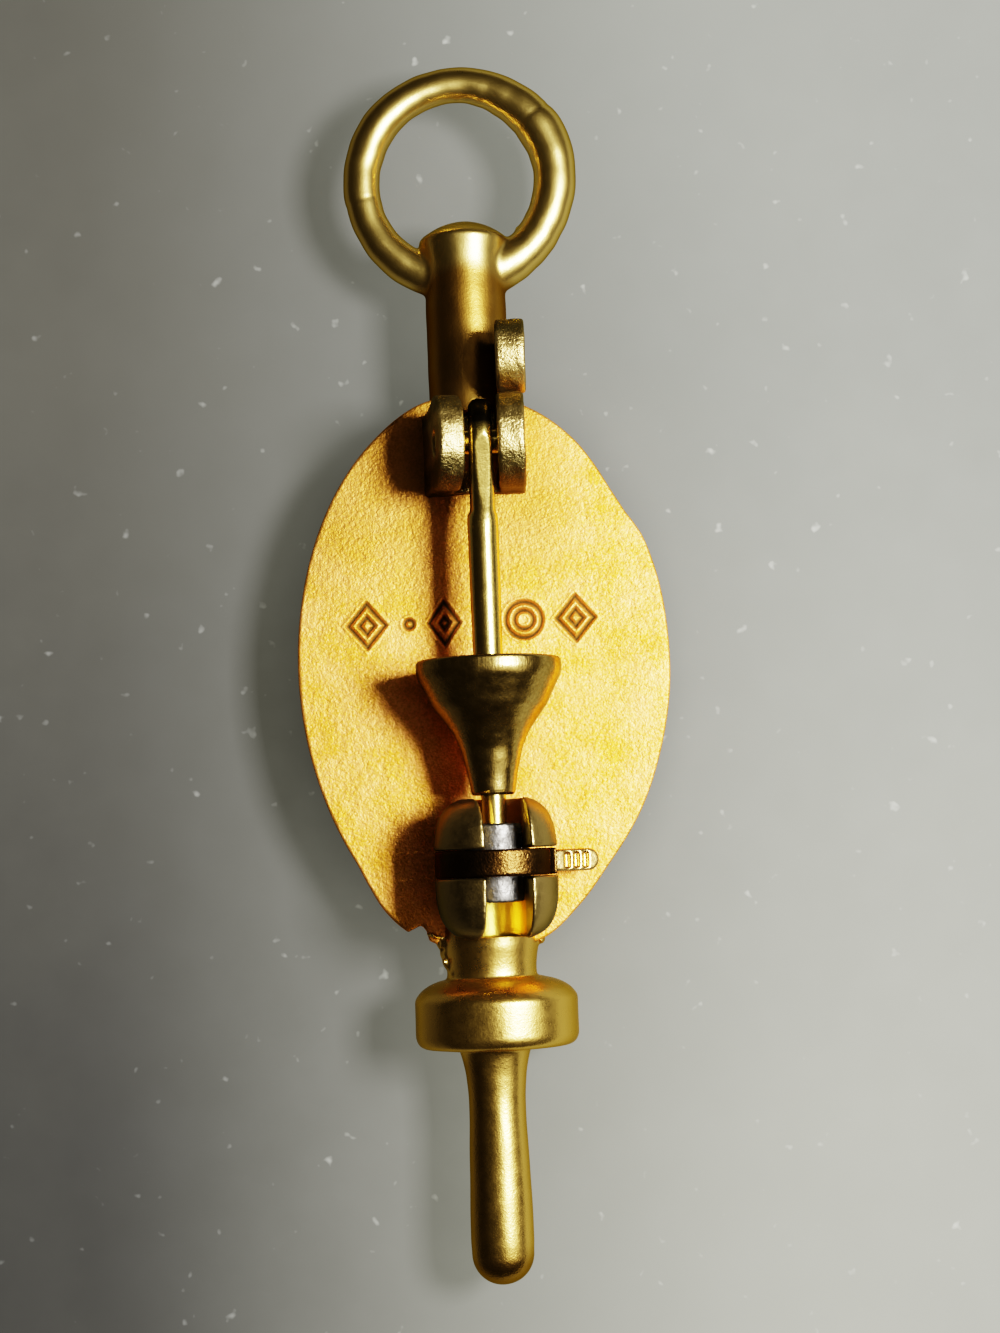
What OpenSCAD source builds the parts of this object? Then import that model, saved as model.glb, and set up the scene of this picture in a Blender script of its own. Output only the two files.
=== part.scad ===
/*
 Lapel key pin, lying face down with its pin work upward.

 Lengths are millimetres. The X axis runs across the oval plate, Y along
 the key from the round lower stem to the hanging ring, and Z up from the
 table to the pin. The flat oval on the face and the lowest line of the
 collar both stand on Z = 0.

 key_body is one soldered piece: plate, face oval, ring, upper stem,
 neck, collar, lower stem, two hinge ears and the catch barrel.
 The other nodes are the hinge rivet, the pin, its trumpet guard, the
 steel rotor in the catch and the gold lever disc pressed on the rotor.
*/

/* [Part] */
// piece to draw, or all of them
// smoothness of every round surface
round_steps = 96; // [48:8:144]

/* [Plate] */
// half width of the oval plate
plate_half_width = 5.82; // [5.4:0.01:6.2]
// half length of the oval plate
plate_half_length = 8.6; // [8.2:0.01:8.9]
// thickness of the plate
plate_thickness = 1.3; // [1:0.05:1.6]
// height of the plate's pin side above the table
plate_back_z = 3.15; // [2.9:0.05:3.2]
// distance from the key's middle to the plate's middle
plate_y = -0.22; // [-0.3:0.01:-0.1]
// share of the hand cut edge's departures from a true oval
edge_wander = 1; // [0:0.05:1]
// width of the bevel that breaks the plate's rear edge
edge_break = 0.07; // [0.02:0.01:0.12]
// half width of the raised oval on the face
face_half_width = 4.6; // [4:0.1:5]
// half length of the raised oval on the face
face_half_length = 7.2; // [6.4:0.1:7.6]
// width of the step around the raised oval
face_step = 0.5; // [0.3:0.05:0.7]

/* [Ornament row] */
// distance from the key's middle to the middle of the row
ornament_y = 1.24; // [1:0.02:1.5]
// height of each engraved outline
ornament_height = 1.6; // [1.2:0.05:1.8]
// width of each engraved line
ornament_line = 0.13; // [0.1:0.01:0.2]
// depth of each engraved line
ornament_depth = 0.08; // [0.05:0.01:0.15]

/* [Ring and upper stem] */
// radius of the ring to the middle of its wire
ring_radius = 3.08; // [2.9:0.01:3.2]
// radius of the ring's wire
ring_wire = 0.67; // [0.6:0.01:0.75]
// distance from the key's middle to the ring's middle
ring_y = 15.5; // [15.4:0.01:15.6]
// offset of the ring and stems from the plate's middle line
key_x = -0.13; // [-0.2:0.01:0]
// radius of the upper stem
stem_radius = 1.27; // [1.1:0.01:1.35]
// radius of the flared saddle where the stem meets the ring
saddle_radius = 1.44; // [1.36:0.01:1.5]
// where the upper stem ends inside the ring
stem_top_y = 14.09; // [13.9:0.01:14.15]

/* [Neck, collar and lower stem] */
// radius of the neck between plate and collar
neck_radius = 1.5; // [1.3:0.01:1.6]
// radius of the collar, and height of the key's axis above the table
collar_radius = 2.54; // [2.5:0.01:2.6]
// end of the collar nearest the plate
collar_top_y = -9.85; // [-10:0.05:-9.7]
// end of the collar nearest the lower stem
collar_low_y = -12; // [-12.1:0.05:-11.9]
// smallest radius of the lower stem
lower_stem_radius = 0.885; // [0.8:0.005:0.95]
// tip of the lower stem
lower_tip_y = -19.28; // [-19.5:0.01:-19]

/* [Hinge] */
// distance from the key's middle to the rivet
pivot_y = 6.52; // [6.4:0.01:6.6]
// height of the rivet and of the pin's axis above the table
pivot_z = 5.5; // [5.45:0.01:5.6]
// radius of the round hinge ears
ear_radius = 1.45; // [1.4:0.01:1.5]
// thickness of the hinge ears
ear_thickness = 0.8; // [0.76:0.01:0.82]
// inward lean of the left ear in degrees
ear_lean = 9; // [8:0.5:9.5]
// radius of the second lobe on the right ear
lobe_radius = 1.14; // [1.1:0.01:1.2]
// thickness of the second lobe
lobe_thickness = 0.92; // [0.86:0.01:0.96]
// distance from the key's middle to the second lobe
lobe_y = 9.3; // [9.2:0.05:9.4]
// radius of the rivet
rivet_radius = 0.38; // [0.34:0.01:0.42]
// radial room between the rivet and the ears
rivet_room = 0.02; // [0.02:0.01:0.04]
// radial room between the rivet and the pin's eye
swing_room = 0.04; // [0.03:0.01:0.07]

/* [Pin] */
// sideways place of the pin's axis
pin_x = 0.15; // [0.1:0.01:0.2]
// radius of the pin near the hinge
pin_radius = 0.47; // [0.44:0.01:0.48]
// radius of the pin where it enters the catch
pin_catch_radius = 0.375; // [0.34:0.005:0.39]
// radius of the pin's eye
eye_radius = 1.3; // [1.2:0.01:1.34]
// thickness of the pin's eye
eye_thickness = 0.7; // [0.64:0.01:0.72]
// where the pin's point ends inside the catch
pin_tip_y = -7.3; // [-7.4:0.05:-7.1]

/* [Trumpet guard] */
// radius of the guard's wide mouth
guard_mouth = 2.21; // [2.1:0.01:2.24]
// radius of the guard's narrow end
guard_neck = 0.67; // [0.62:0.01:0.7]
// place of the guard's wide mouth
guard_mouth_y = -0.16; // [-0.2:0.01:-0.1]
// length of the guard
guard_length = 4.1; // [4.0:0.01:4.14]
// wall of the guard's flare
guard_wall = 0.26; // [0.2:0.01:0.3]
// radial room between the guard's bore and the pin
guard_room = 0.02; // [0.02:0.01:0.04]

/* [Catch] */
// place of the middle of the catch barrel
catch_y = -6.46; // [-6.5:0.01:-6.42]
// radius of the catch barrel
catch_radius = 1.86; // [1.8:0.01:1.9]
// half length of the catch barrel
catch_half_length = 2.17; // [2.1:0.01:2.2]
// turn of the barrel's mouth from straight up, in degrees
slot_turn = 13; // [8:1:16]
// width of the barrel's mouth
slot_width = 1.39; // [1.3:0.01:1.44]
// radius of the steel rotor
rotor_radius = 0.86; // [0.8:0.01:0.88]
// radius of the rotor's hole
rotor_hole = 0.43; // [0.42:0.005:0.45]
// length of the rotor
rotor_length = 2.35; // [2.2:0.05:2.4]
// radial room between the rotor and the barrel
rotor_room = 0.04; // [0.03:0.01:0.06]
// place of the middle of the rotor and of the lever disc
lever_y = -6.3; // [-6.34:0.01:-6.26]
// width of the lever disc along the catch
lever_width = 0.8; // [0.74:0.01:0.84]
// room on each side of the lever disc
lever_room = 0.03; // [0.02:0.01:0.04]
// turn of the lever's thumb tab below level, in degrees
tab_turn = 27; // [24:1:29]
// reach of the thumb tab from the catch's axis
tab_reach = 3.46; // [3.3:0.01:3.5]
// thickness of the thumb tab
tab_thickness = 0.42; // [0.36:0.01:0.46]
// turn of the gap in lever and rotor above level, in degrees
gap_turn = 12; // [10:1:14]

/* [Hidden] */
$fn = round_steps;
eps = 0.01;

axis_z = collar_radius;
collar_x = -0.03;
lower_stem_x = -0.12;
plate_front_z = plate_back_z - plate_thickness;
stem_low_y = 7.75;
saddle_length = 1.4;
stem_dome = 0.58;
stem_rim = 0.08;

right_ear_x = 0.62;
lobe_x = 0.74;
left_ear_x = -1.62;
ear_foot = 1.28;
hinge_base_top = 3.45;
lobe_z = 4.6;
lobe_foot_z = 2.9;
waist_z = 4.4;
waist_low_y = 6.8;

eye_x = -0.17;
rivet_left = -1.2;
rivet_right = right_ear_x + ear_thickness - 0.01;

lever_reach = catch_radius - 0.02;
lever_slit = lever_width + 2 * lever_room;
lever_bore = rotor_radius + rivet_room;
lever_gap = 1.0;
rotor_gap = 0.8;
foot_half_width = 1.05;
foot_high_y = -4.95;
foot_low_y = -7.95;

// colours of the finished metals
gold = [0.86, 0.68, 0.25];
steel = [0.55, 0.56, 0.58];

// Hand cut edge: turn around the oval in degrees, share of the true size
edge_rows = [
    [0, 1.001],
    [16, 1.004],
    [23, 1.001],
    [30, 0.988],
    [38, 0.964],
    [50, 0.974],
    [56, 0.984],
    [74, 0.997],
    [90, 1.002],
    [108, 1.022],
    [123, 1.015],
    [141, 1.012],
    [177, 1],
    [207, 0.992],
    [223, 0.997],
    [234, 1.036],
    [242, 1.048],
    [248, 1.006],
    [252, 1.028],
    [256, 1.004],
    [268, 1.004],
    [284, 1.018],
    [298, 0.984],
    [312, 0.96],
    [329, 0.975],
    [339, 0.983],
    [360, 1.001]
];
function edge_share(a, hand) = 1 + hand * edge_wander * (lookup(a, edge_rows) - 1);

// Oval outline grown by extra; hand is 1 for the hand cut edge and 0 for a true oval
function oval(half_w, half_l, extra, hand) = [
    for (i = [0:round_steps - 1])
        let (a = 360 * i / round_steps, k = edge_share(a, hand))
        [(k * half_w + extra) * cos(a), plate_y + (k * half_l + extra) * sin(a)]
];

// Half outline of the barrel, fuller than an ellipse toward its ends
barrel_power = 3.5;
barrel_steps = 10;
function barrel(t) = pow(1 - pow(abs(t), barrel_power), 1 / barrel_power);
barrel_points = [
    for (i = [0:2 * barrel_steps])
        let (t = sin(90 * (i - barrel_steps) / barrel_steps))
        [catch_radius * barrel(t), catch_half_length * t]
];

// Trumpet guard: share of its length from the mouth, share of the flare
guard_rows = [
    [0, 0.93],
    [0.035, 0.985],
    [0.075, 1],
    [0.12, 0.985],
    [0.19, 0.885],
    [0.34, 0.69],
    [0.49, 0.41],
    [0.61, 0.235],
    [0.74, 0.125],
    [0.87, 0.045],
    [0.96, 0],
    [1, -0.06]
];
hollow_rows = 7;
function guard_r(row) = guard_neck + (guard_mouth - guard_neck) * row[1];
function guard_y(row) = guard_mouth_y - guard_length * row[0];

// Pin radius along its length: place, radius
pin_rows = [
    [5.9, pin_radius],
    [2.6, pin_radius],
    [0.3, pin_radius - 0.015],
    [-4.7, pin_catch_radius],
    [pin_tip_y + 0.5, 0.32],
    [pin_tip_y + 0.12, 0.24],
    [pin_tip_y, 0.1]
];
function pin_r(y) = lookup(y, [for (i = [len(pin_rows) - 1:-1:0]) pin_rows[i]]);

// Lower stem: place, radius
lower_rows = [
    [collar_low_y + 0.3, 1.24],
    [-12.0, 1.14],
    [-12.4, 1.03],
    [-12.9, 0.94],
    [-13.65, lower_stem_radius],
    [-15.2, 0.92],
    [-16.7, 0.965],
    [-17.9, 0.985],
    [-18.4, 0.96]
];
tip_radius = 0.96;
tip_steps = 8;

// Neck: place, radius
neck_rows = [
    [-8.2, neck_radius + 0.02],
    [-8.8, neck_radius],
    [-9.25, neck_radius - 0.07],
    [-9.6, neck_radius - 0.1],
    [collar_top_y - 0.3, neck_radius - 0.08]
];

// Collar: place, radius
collar_rows = [
    [collar_top_y + 0.04, 1.3],
    [collar_top_y - 0.03, 1.68],
    [collar_top_y - 0.2, 2.08],
    [collar_top_y - 0.42, 2.38],
    [collar_top_y - 0.7, collar_radius],
    [collar_low_y + 0.4, collar_radius],
    [collar_low_y + 0.17, collar_radius - 0.07],
    [collar_low_y + 0.04, collar_radius - 0.22],
    [collar_low_y, collar_radius - 0.42]
];

// Turns a half outline of [place, radius] rows around the Y axis
module turned(rows) {
    low = rows[len(rows) - 1][0];
    high = rows[0][0];
    rotate([-90, 0, 0])
        rotate_extrude()
            polygon(concat(
                [[0, low]],
                [for (i = [len(rows) - 1:-1:0]) [rows[i][1], rows[i][0]]],
                [[0, high]]
            ));
}

// Plain rod along Y from one place to another
module rod(r, from_y, to_y) {
    translate([0, to_y, 0])
        rotate([90, 0, 0])
            cylinder(r = r, h = to_y - from_y);
}

// Plain rod along X from one place to another
module cross_rod(r, from_x, to_x) {
    translate([from_x, 0, 0])
        rotate([0, 90, 0])
            cylinder(r = r, h = to_x - from_x);
}

// Oval plate with its rear edge broken, and the stepped oval of the face
module plate() {
    bevel_steps = 2;
    translate([0, 0, plate_front_z])
        linear_extrude(plate_thickness - edge_break)
            polygon(oval(plate_half_width, plate_half_length, 0, 1));
    for (i = [1:bevel_steps]) {
        inset = edge_break * i / (bevel_steps + 1);
        translate([0, 0, plate_back_z - edge_break - eps])
            linear_extrude(edge_break * i / bevel_steps + eps)
                polygon(oval(plate_half_width, plate_half_length, inset - edge_break, 1));
    }
    translate([0, 0, plate_front_z / 2])
        linear_extrude(plate_front_z / 2 + eps)
            polygon(oval(face_half_width + face_step, face_half_length + face_step, 0, 0));
    linear_extrude(plate_front_z)
        polygon(oval(face_half_width, face_half_length, 0, 0));
}

// Cast nubs of the face that show past the plate's lower left edge;
// columns are X, Y, radius, low end and height
nubs = [
    [-2.82, -7.75, 0.36, 1.3, 1.7],
    [-2.3, -8.2, 0.32, 1.3, 1.5],
    [-1.78, -8.5, 0.26, 1.3, 1.6],
    [-1.58, -9.3, 0.2, 1.9, 1.1]
];
module face_nubs() {
    for (n = nubs)
        translate([n[0], n[1], n[3]])
            cylinder(r = n[2], h = n[4], $fn = 24);
}

// One engraved outline; kind 0 is a lozenge, 1 an oval
module outline(kind, w, h) {
    points = kind == 0 ? 4 : 28;
    difference() {
        scale([w / 2, h / 2])
            circle(r = 1, $fn = points);
        scale([w / 2 - ornament_line * (kind == 0 ? 1.35 : 1), h / 2 - ornament_line * (kind == 0 ? 1.35 : 1)])
            circle(r = 1, $fn = points);
    }
}

// Row of plain outlines; columns are X, kind, width, share of height
ornaments = [
    [-3.62, 0, 1.36, 1],
    [-2.3, 1, 0.42, 0.26],
    [-1.2, 0, 1.1, 1],
    [1.3, 1, 1.28, 0.8],
    [2.92, 0, 1.36, 1]
];
module ornament_cuts() {
    for (o = ornaments)
        translate([o[0], ornament_y, plate_back_z - ornament_depth])
            linear_extrude(ornament_depth + eps)
                outline(o[1], o[2], ornament_height * o[3]);
}

// Hanging ring, and the upper stem with its flared saddle
module ring_and_stem() {
    translate([key_x, ring_y, axis_z])
        rotate_extrude()
            translate([ring_radius, 0])
                circle(r = ring_wire, $fn = 48);
    translate([key_x, 0, axis_z])
        turned([
            [stem_top_y, 0.2 * saddle_radius],
            [stem_top_y - 0.2 * stem_dome, 0.48 * saddle_radius],
            [stem_top_y - 0.55 * stem_dome, 0.76 * saddle_radius],
            [stem_top_y - stem_dome, saddle_radius - stem_rim],
            [stem_top_y - stem_dome - stem_rim, saddle_radius],
            [stem_top_y - saddle_length, stem_radius],
            [stem_low_y, stem_radius]
        ]);
}

// Neck and collar, then the lower stem with its round tip
module lower_parts() {
    tip_len = lower_rows[len(lower_rows) - 1][0] - lower_tip_y;
    tip_from = lower_rows[len(lower_rows) - 1][0];
    tip_rows = [
        for (i = [1:tip_steps])
            let (a = 90 * i / tip_steps)
            [tip_from - tip_len * sin(a), tip_radius * cos(a)]
    ];
    translate([key_x, 0, axis_z])
        turned(neck_rows);
    translate([collar_x, 0, axis_z])
        turned(collar_rows);
    translate([lower_stem_x, 0, axis_z])
        turned(concat(lower_rows, tip_rows));
}

// Side outline of the round ear on its foot, drawn in Y and Z
module ear_outline(foot_z) {
    translate([pivot_y, pivot_z])
        circle(r = ear_radius);
    translate([pivot_y - ear_foot, foot_z])
        square([2 * ear_foot, pivot_z - foot_z]);
}

// Stands an outline drawn in Y and Z upright, from X = 0
module upright(thickness) {
    rotate([90, 0, 90])
        linear_extrude(thickness)
            children();
}

// Two ears, the second lobe of the right ear and the low base
module hinge_ears() {
    sink = 0.25;
    base_reach = ear_foot - 0.06;
    translate([right_ear_x, 0, 0])
        upright(ear_thickness) {
            ear_outline(plate_back_z - sink);
        }
    translate([lobe_x, 0, 0])
        upright(lobe_thickness) {
            translate([lobe_y, lobe_z])
                circle(r = lobe_radius);
            translate([waist_low_y, lobe_foot_z])
                square([lobe_y + 0.7 * lobe_radius - waist_low_y, waist_z - lobe_foot_z]);
        }
    translate([left_ear_x, 0, plate_back_z])
        rotate([0, ear_lean, 0])
            translate([0, 0, -plate_back_z])
                upright(ear_thickness)
                    ear_outline(plate_back_z - sink);
    translate([left_ear_x + 0.05, pivot_y - base_reach, plate_back_z - sink])
        cube([right_ear_x + ear_thickness - left_ear_x - 0.1, 2 * base_reach, hinge_base_top - plate_back_z + sink]);
}

// Catch barrel on its foot
module catch_solid() {
    translate([pin_x, catch_y, pivot_z])
        rotate([-90, 0, 0])
            rotate_extrude()
                polygon(barrel_points);
    translate([pin_x - foot_half_width, foot_low_y, plate_back_z - 0.1])
        cube([2 * foot_half_width, foot_high_y - foot_low_y, 1.3]);
}

// Room for rotor, lever disc and pin inside the catch
module catch_room() {
    slit_reach = pivot_z - plate_back_z - eps;
    translate([pin_x, 0, pivot_z]) {
        rod(rotor_radius + rotor_room, catch_y - catch_half_length - eps, catch_y + catch_half_length + eps);
        rod(slit_reach, lever_y - lever_slit / 2, lever_y + lever_slit / 2);
        rotate([0, slot_turn, 0])
            translate([-slot_width / 2, catch_y - catch_half_length - eps, 0])
                cube([slot_width, 2 * catch_half_length + 2 * eps, catch_radius + 1]);
    }
}

module key_body() {
    color(gold)
        difference() {
            union() {
                plate();
                face_nubs();
                ring_and_stem();
                lower_parts();
                hinge_ears();
                catch_solid();
            }
            ornament_cuts();
            catch_room();
            translate([0, pivot_y, pivot_z])
                cross_rod(rivet_radius + rivet_room, left_ear_x - 0.5, right_ear_x + ear_thickness + 0.5);
        }
}

module hinge_rivet() {
    color(gold)
        translate([0, pivot_y, pivot_z])
            cross_rod(rivet_radius, rivet_left, rivet_right);
}

// Round eye, shaft that thins to its point, and a shallow leaf shaped flat
module pin_tongue() {
    flat_length = 2.55;
    flat_depth = 0.05;
    flat_y = 5.3;
    flat_radius = (flat_length / 2) * (flat_length / 2) / (2 * flat_depth);
    color(gold)
        difference() {
            union() {
                translate([0, pivot_y, pivot_z])
                    cross_rod(eye_radius, eye_x, eye_x + eye_thickness);
                translate([pin_x, 0, pivot_z])
                    turned(pin_rows);
            }
            translate([0, pivot_y, pivot_z])
                cross_rod(rivet_radius + swing_room, eye_x - 1, eye_x + eye_thickness + 1);
            translate([0, flat_y, pivot_z + pin_radius - flat_depth + flat_radius])
                cross_rod(flat_radius, pin_x - 0.6, pin_x + 0.6);
        }
}

// Thin trumpet that opens toward the hinge
module pin_guard() {
    outer = [for (row = guard_rows) [guard_r(row), guard_y(row)]];
    throat_y = guard_y(guard_rows[hollow_rows]);
    inner = [
        for (i = [hollow_rows - 1:-1:0])
            [max(guard_r(guard_rows[i]) - guard_wall, pin_radius + 0.1), guard_y(guard_rows[i]) + eps]
    ];
    last = outer[len(outer) - 1];
    color(gold)
        translate([pin_x, 0, pivot_z])
            rotate([-90, 0, 0])
                rotate_extrude()
                    polygon(concat(
                        outer,
                        [[pin_r(last[1]) + guard_room, last[1]]],
                        [[pin_r(throat_y) + guard_room, throat_y]],
                        inner
                    ));
}

// Steel tube with a gap along its side
module catch_rotor() {
    color(steel)
        translate([pin_x, lever_y, pivot_z])
            difference() {
                rod(rotor_radius, -rotor_length / 2, rotor_length / 2);
                rod(rotor_hole, -rotor_length, rotor_length);
                rotate([0, -gap_turn, 0])
                    translate([0, -rotor_length, -rotor_gap / 2])
                        cube([2, 2 * rotor_length, rotor_gap]);
            }
}

// Gold disc with the same gap, and a thumb tab with a round end
module lever_ring() {
    tab_end = lever_width / 2 - 0.06;
    color(gold)
        translate([pin_x, lever_y, pivot_z])
            difference() {
                union() {
                    rod(lever_reach, -lever_width / 2, lever_width / 2);
                    rotate([0, tab_turn, 0])
                        translate([0, 0, -tab_thickness / 2]) {
                            translate([lever_bore + 0.3, -tab_end, 0])
                                cube([tab_reach - tab_end - lever_bore - 0.3, 2 * tab_end, tab_thickness]);
                            translate([tab_reach - tab_end, 0, 0])
                                cylinder(r = tab_end, h = tab_thickness);
                        }
                }
                rod(lever_bore, -lever_width, lever_width);
                rotate([0, -gap_turn, 0])
                    translate([0, -lever_width, -lever_gap / 2])
                        cube([4, 2 * lever_width, lever_gap]);
            }
}

key_body();
hinge_rivet();
pin_tongue();
pin_guard();
catch_rotor();
lever_ring();
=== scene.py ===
"""Lapel key pin lying face down, with its hinged pin, trumpet guard and turning catch.

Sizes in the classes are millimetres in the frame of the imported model: X runs across
the oval plate, Y along the key toward the hanging ring and Z up from the table.
Each sub-assembly is a class that shapes its pieces and dresses them in a finish.
"""

import logging
import math
from dataclasses import dataclass
from enum import Enum
from typing import Callable, Sequence

import bpy
import numpy as np
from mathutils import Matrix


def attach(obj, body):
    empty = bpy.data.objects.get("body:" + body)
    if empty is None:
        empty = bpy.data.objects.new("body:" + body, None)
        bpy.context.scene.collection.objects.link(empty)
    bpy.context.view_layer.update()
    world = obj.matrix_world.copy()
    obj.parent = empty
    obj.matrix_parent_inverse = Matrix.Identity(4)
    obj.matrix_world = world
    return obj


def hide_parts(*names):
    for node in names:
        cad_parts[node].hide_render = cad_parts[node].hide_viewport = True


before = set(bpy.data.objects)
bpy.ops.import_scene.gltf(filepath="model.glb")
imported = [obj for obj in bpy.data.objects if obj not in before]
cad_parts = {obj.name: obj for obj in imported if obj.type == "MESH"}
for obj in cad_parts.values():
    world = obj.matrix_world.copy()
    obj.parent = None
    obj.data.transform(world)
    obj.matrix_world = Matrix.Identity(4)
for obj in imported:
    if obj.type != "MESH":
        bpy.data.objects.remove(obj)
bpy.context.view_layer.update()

import openvdb
from mathutils import Matrix, Vector

log = logging.getLogger("lapel_pin")

Grid = np.ndarray
Row = tuple[float, float]
Triple = tuple[float, float, float]
Block = tuple[Triple, Triple]

# A millimetre in metres, a distance past every piece and a share that counts as nothing
MM = 0.001
FAR = 9.0
TINY = 0.001


class Body(Enum):
    """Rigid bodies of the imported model."""

    KEY = "key"
    TONGUE = "tongue"
    ROTOR = "rotor"


class Slot(Enum):
    """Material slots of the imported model."""

    GOLD = "polished_gold"
    STEEL = "steel"


# Shaping by distance fields


@dataclass(frozen=True)
class Space:
    """Coordinates of sample points, in millimetres, that broadcast against each other."""

    x: Grid
    y: Grid
    z: Grid

    def turned(self, degrees: float, x: float, z: float) -> "Space":
        """Coordinates as seen by a piece that is turned about the line along Y at x and z."""
        (c, s), across, up = bearing(degrees), self.x - x, self.z - z
        return Space(c * across - s * up + x, self.y, c * up + s * across + z)


def bearing(degrees: float) -> Row:
    """Cosine and sine of an angle."""
    return math.cos(math.radians(degrees)), math.sin(math.radians(degrees))


def slab(values: Grid, low: float, high: float) -> Grid:
    """Distance from the layer between two places along one coordinate."""
    return np.maximum(low - values, values - high)


def layer(values: Grid, middle: float, half: float) -> Grid:
    """Distance from the layer that reaches half its thickness to each side of the middle."""
    return slab(values, middle - half, middle + half)


def share(values: Grid, reach: float) -> Grid:
    """The values as a share of the reach, kept between 0 and 1."""
    return np.clip(values / reach, 0, 1)


def eased(values: Grid, start: float, end: float) -> Grid:
    """From 0 at the start to 1 at the end, with soft ends."""
    part = share(values - start, end - start)
    return part * part * (3 - 2 * part)


def disc(a: Grid, b: Grid, centre: Row, radius: Grid | float) -> Grid:
    """Distance from a round bar whose section lies in coordinates a and b."""
    return np.hypot(a - centre[0], b - centre[1]) - radius


def rounded(first: Grid, second: Grid, edge: float) -> Grid:
    """Common part of two fields with the edge between them rounded.

    Args:
        first: Distance field.
        second: Distance field.
        edge: Radius of the rounded edge.

    Returns:
        The field of the common part.
    """
    a, b = first + edge, second + edge
    outside = np.hypot(np.maximum(a, 0), np.maximum(b, 0))
    return np.minimum(np.maximum(a, b), 0) + outside - edge


def joined(first: Grid, second: Grid, fillet: float) -> Grid:
    """Field of two pieces joined with a fillet of solder that reaches so far."""
    part = np.clip(0.5 + 0.5 * (second - first) / fillet, 0, 1)
    return second + (first - second) * part - fillet * part * (1 - part)


def carved(solid: Grid, tool: Grid, edge: float) -> Grid:
    """The solid with the tool cut away and the new edges softened over edge."""
    return -joined(-solid, tool, edge)


def ripple(space: Space, depth: float, pitch: float, turn: float) -> Grid:
    """Gentle unevenness of a surface worked by hand.

    Args:
        space: Sample points.
        depth: Greatest departure.
        pitch: Distance from crest to crest.
        turn: Phase, so that two pieces differ.

    Returns:
        A field to add to a distance field.
    """
    k = 2 * math.pi / pitch
    a = np.sin(k * (space.x + 0.43 * space.y) + turn)
    b = np.sin(k * (0.81 * space.y - 0.35 * space.z) + 1.7 * turn)
    c = np.sin(k * (0.9 * space.z + 0.52 * space.x) + 2.3 * turn)
    return depth * (a + b + c) / 3


@dataclass(frozen=True)
class Profile:
    """Smooth curve through rows of place and radius."""

    rows: tuple[Row, ...]

    def at(self, places: Grid) -> Grid:
        """Radius at each place, by a cubic that doesn't overshoot its rows.

        Args:
            places: Where the radius is wanted.

        Returns:
            The radii, held constant beyond the end rows.
        """
        rows = sorted(self.rows)
        x = np.array([row[0] for row in rows])
        y = np.array([row[1] for row in rows])
        step, slope = np.diff(x), np.diff(y) / np.diff(x)
        inner = np.zeros_like(x)
        same = slope[1:] * slope[:-1] > 0
        mean = 2 * slope[1:] * slope[:-1] / np.where(same, slope[1:] + slope[:-1], 1)
        inner[1:-1] = np.where(same, mean, 0)
        p = np.clip(places, x[0], x[-1])
        i = np.clip(np.searchsorted(x, p, side="right") - 1, 0, len(step) - 1)
        t, h = (p - x[i]) / step[i], step[i]
        rise = y[i] * (1 + 2 * t) * (1 - t) ** 2 + y[i + 1] * t**2 * (3 - 2 * t)
        return rise + h * (inner[i] * t * (1 - t) ** 2 - inner[i + 1] * t**2 * (1 - t))

    def ends(self) -> Row:
        """Lowest and highest place of the rows."""
        places = [row[0] for row in self.rows]
        return min(places), max(places)

    def bar(self, space: Space, centre: Row, edge: float) -> Grid:
        """Round bar along Y whose radius follows the profile.

        Args:
            space: Sample points.
            centre: X and Z of the bar's axis.
            edge: Radius of its rounded end rims.

        Returns:
            The bar's distance field.
        """
        low, high = self.ends()
        side = disc(space.x, space.z, centre, self.at(space.y))
        return rounded(side, slab(space.y, low, high), edge)


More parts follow.
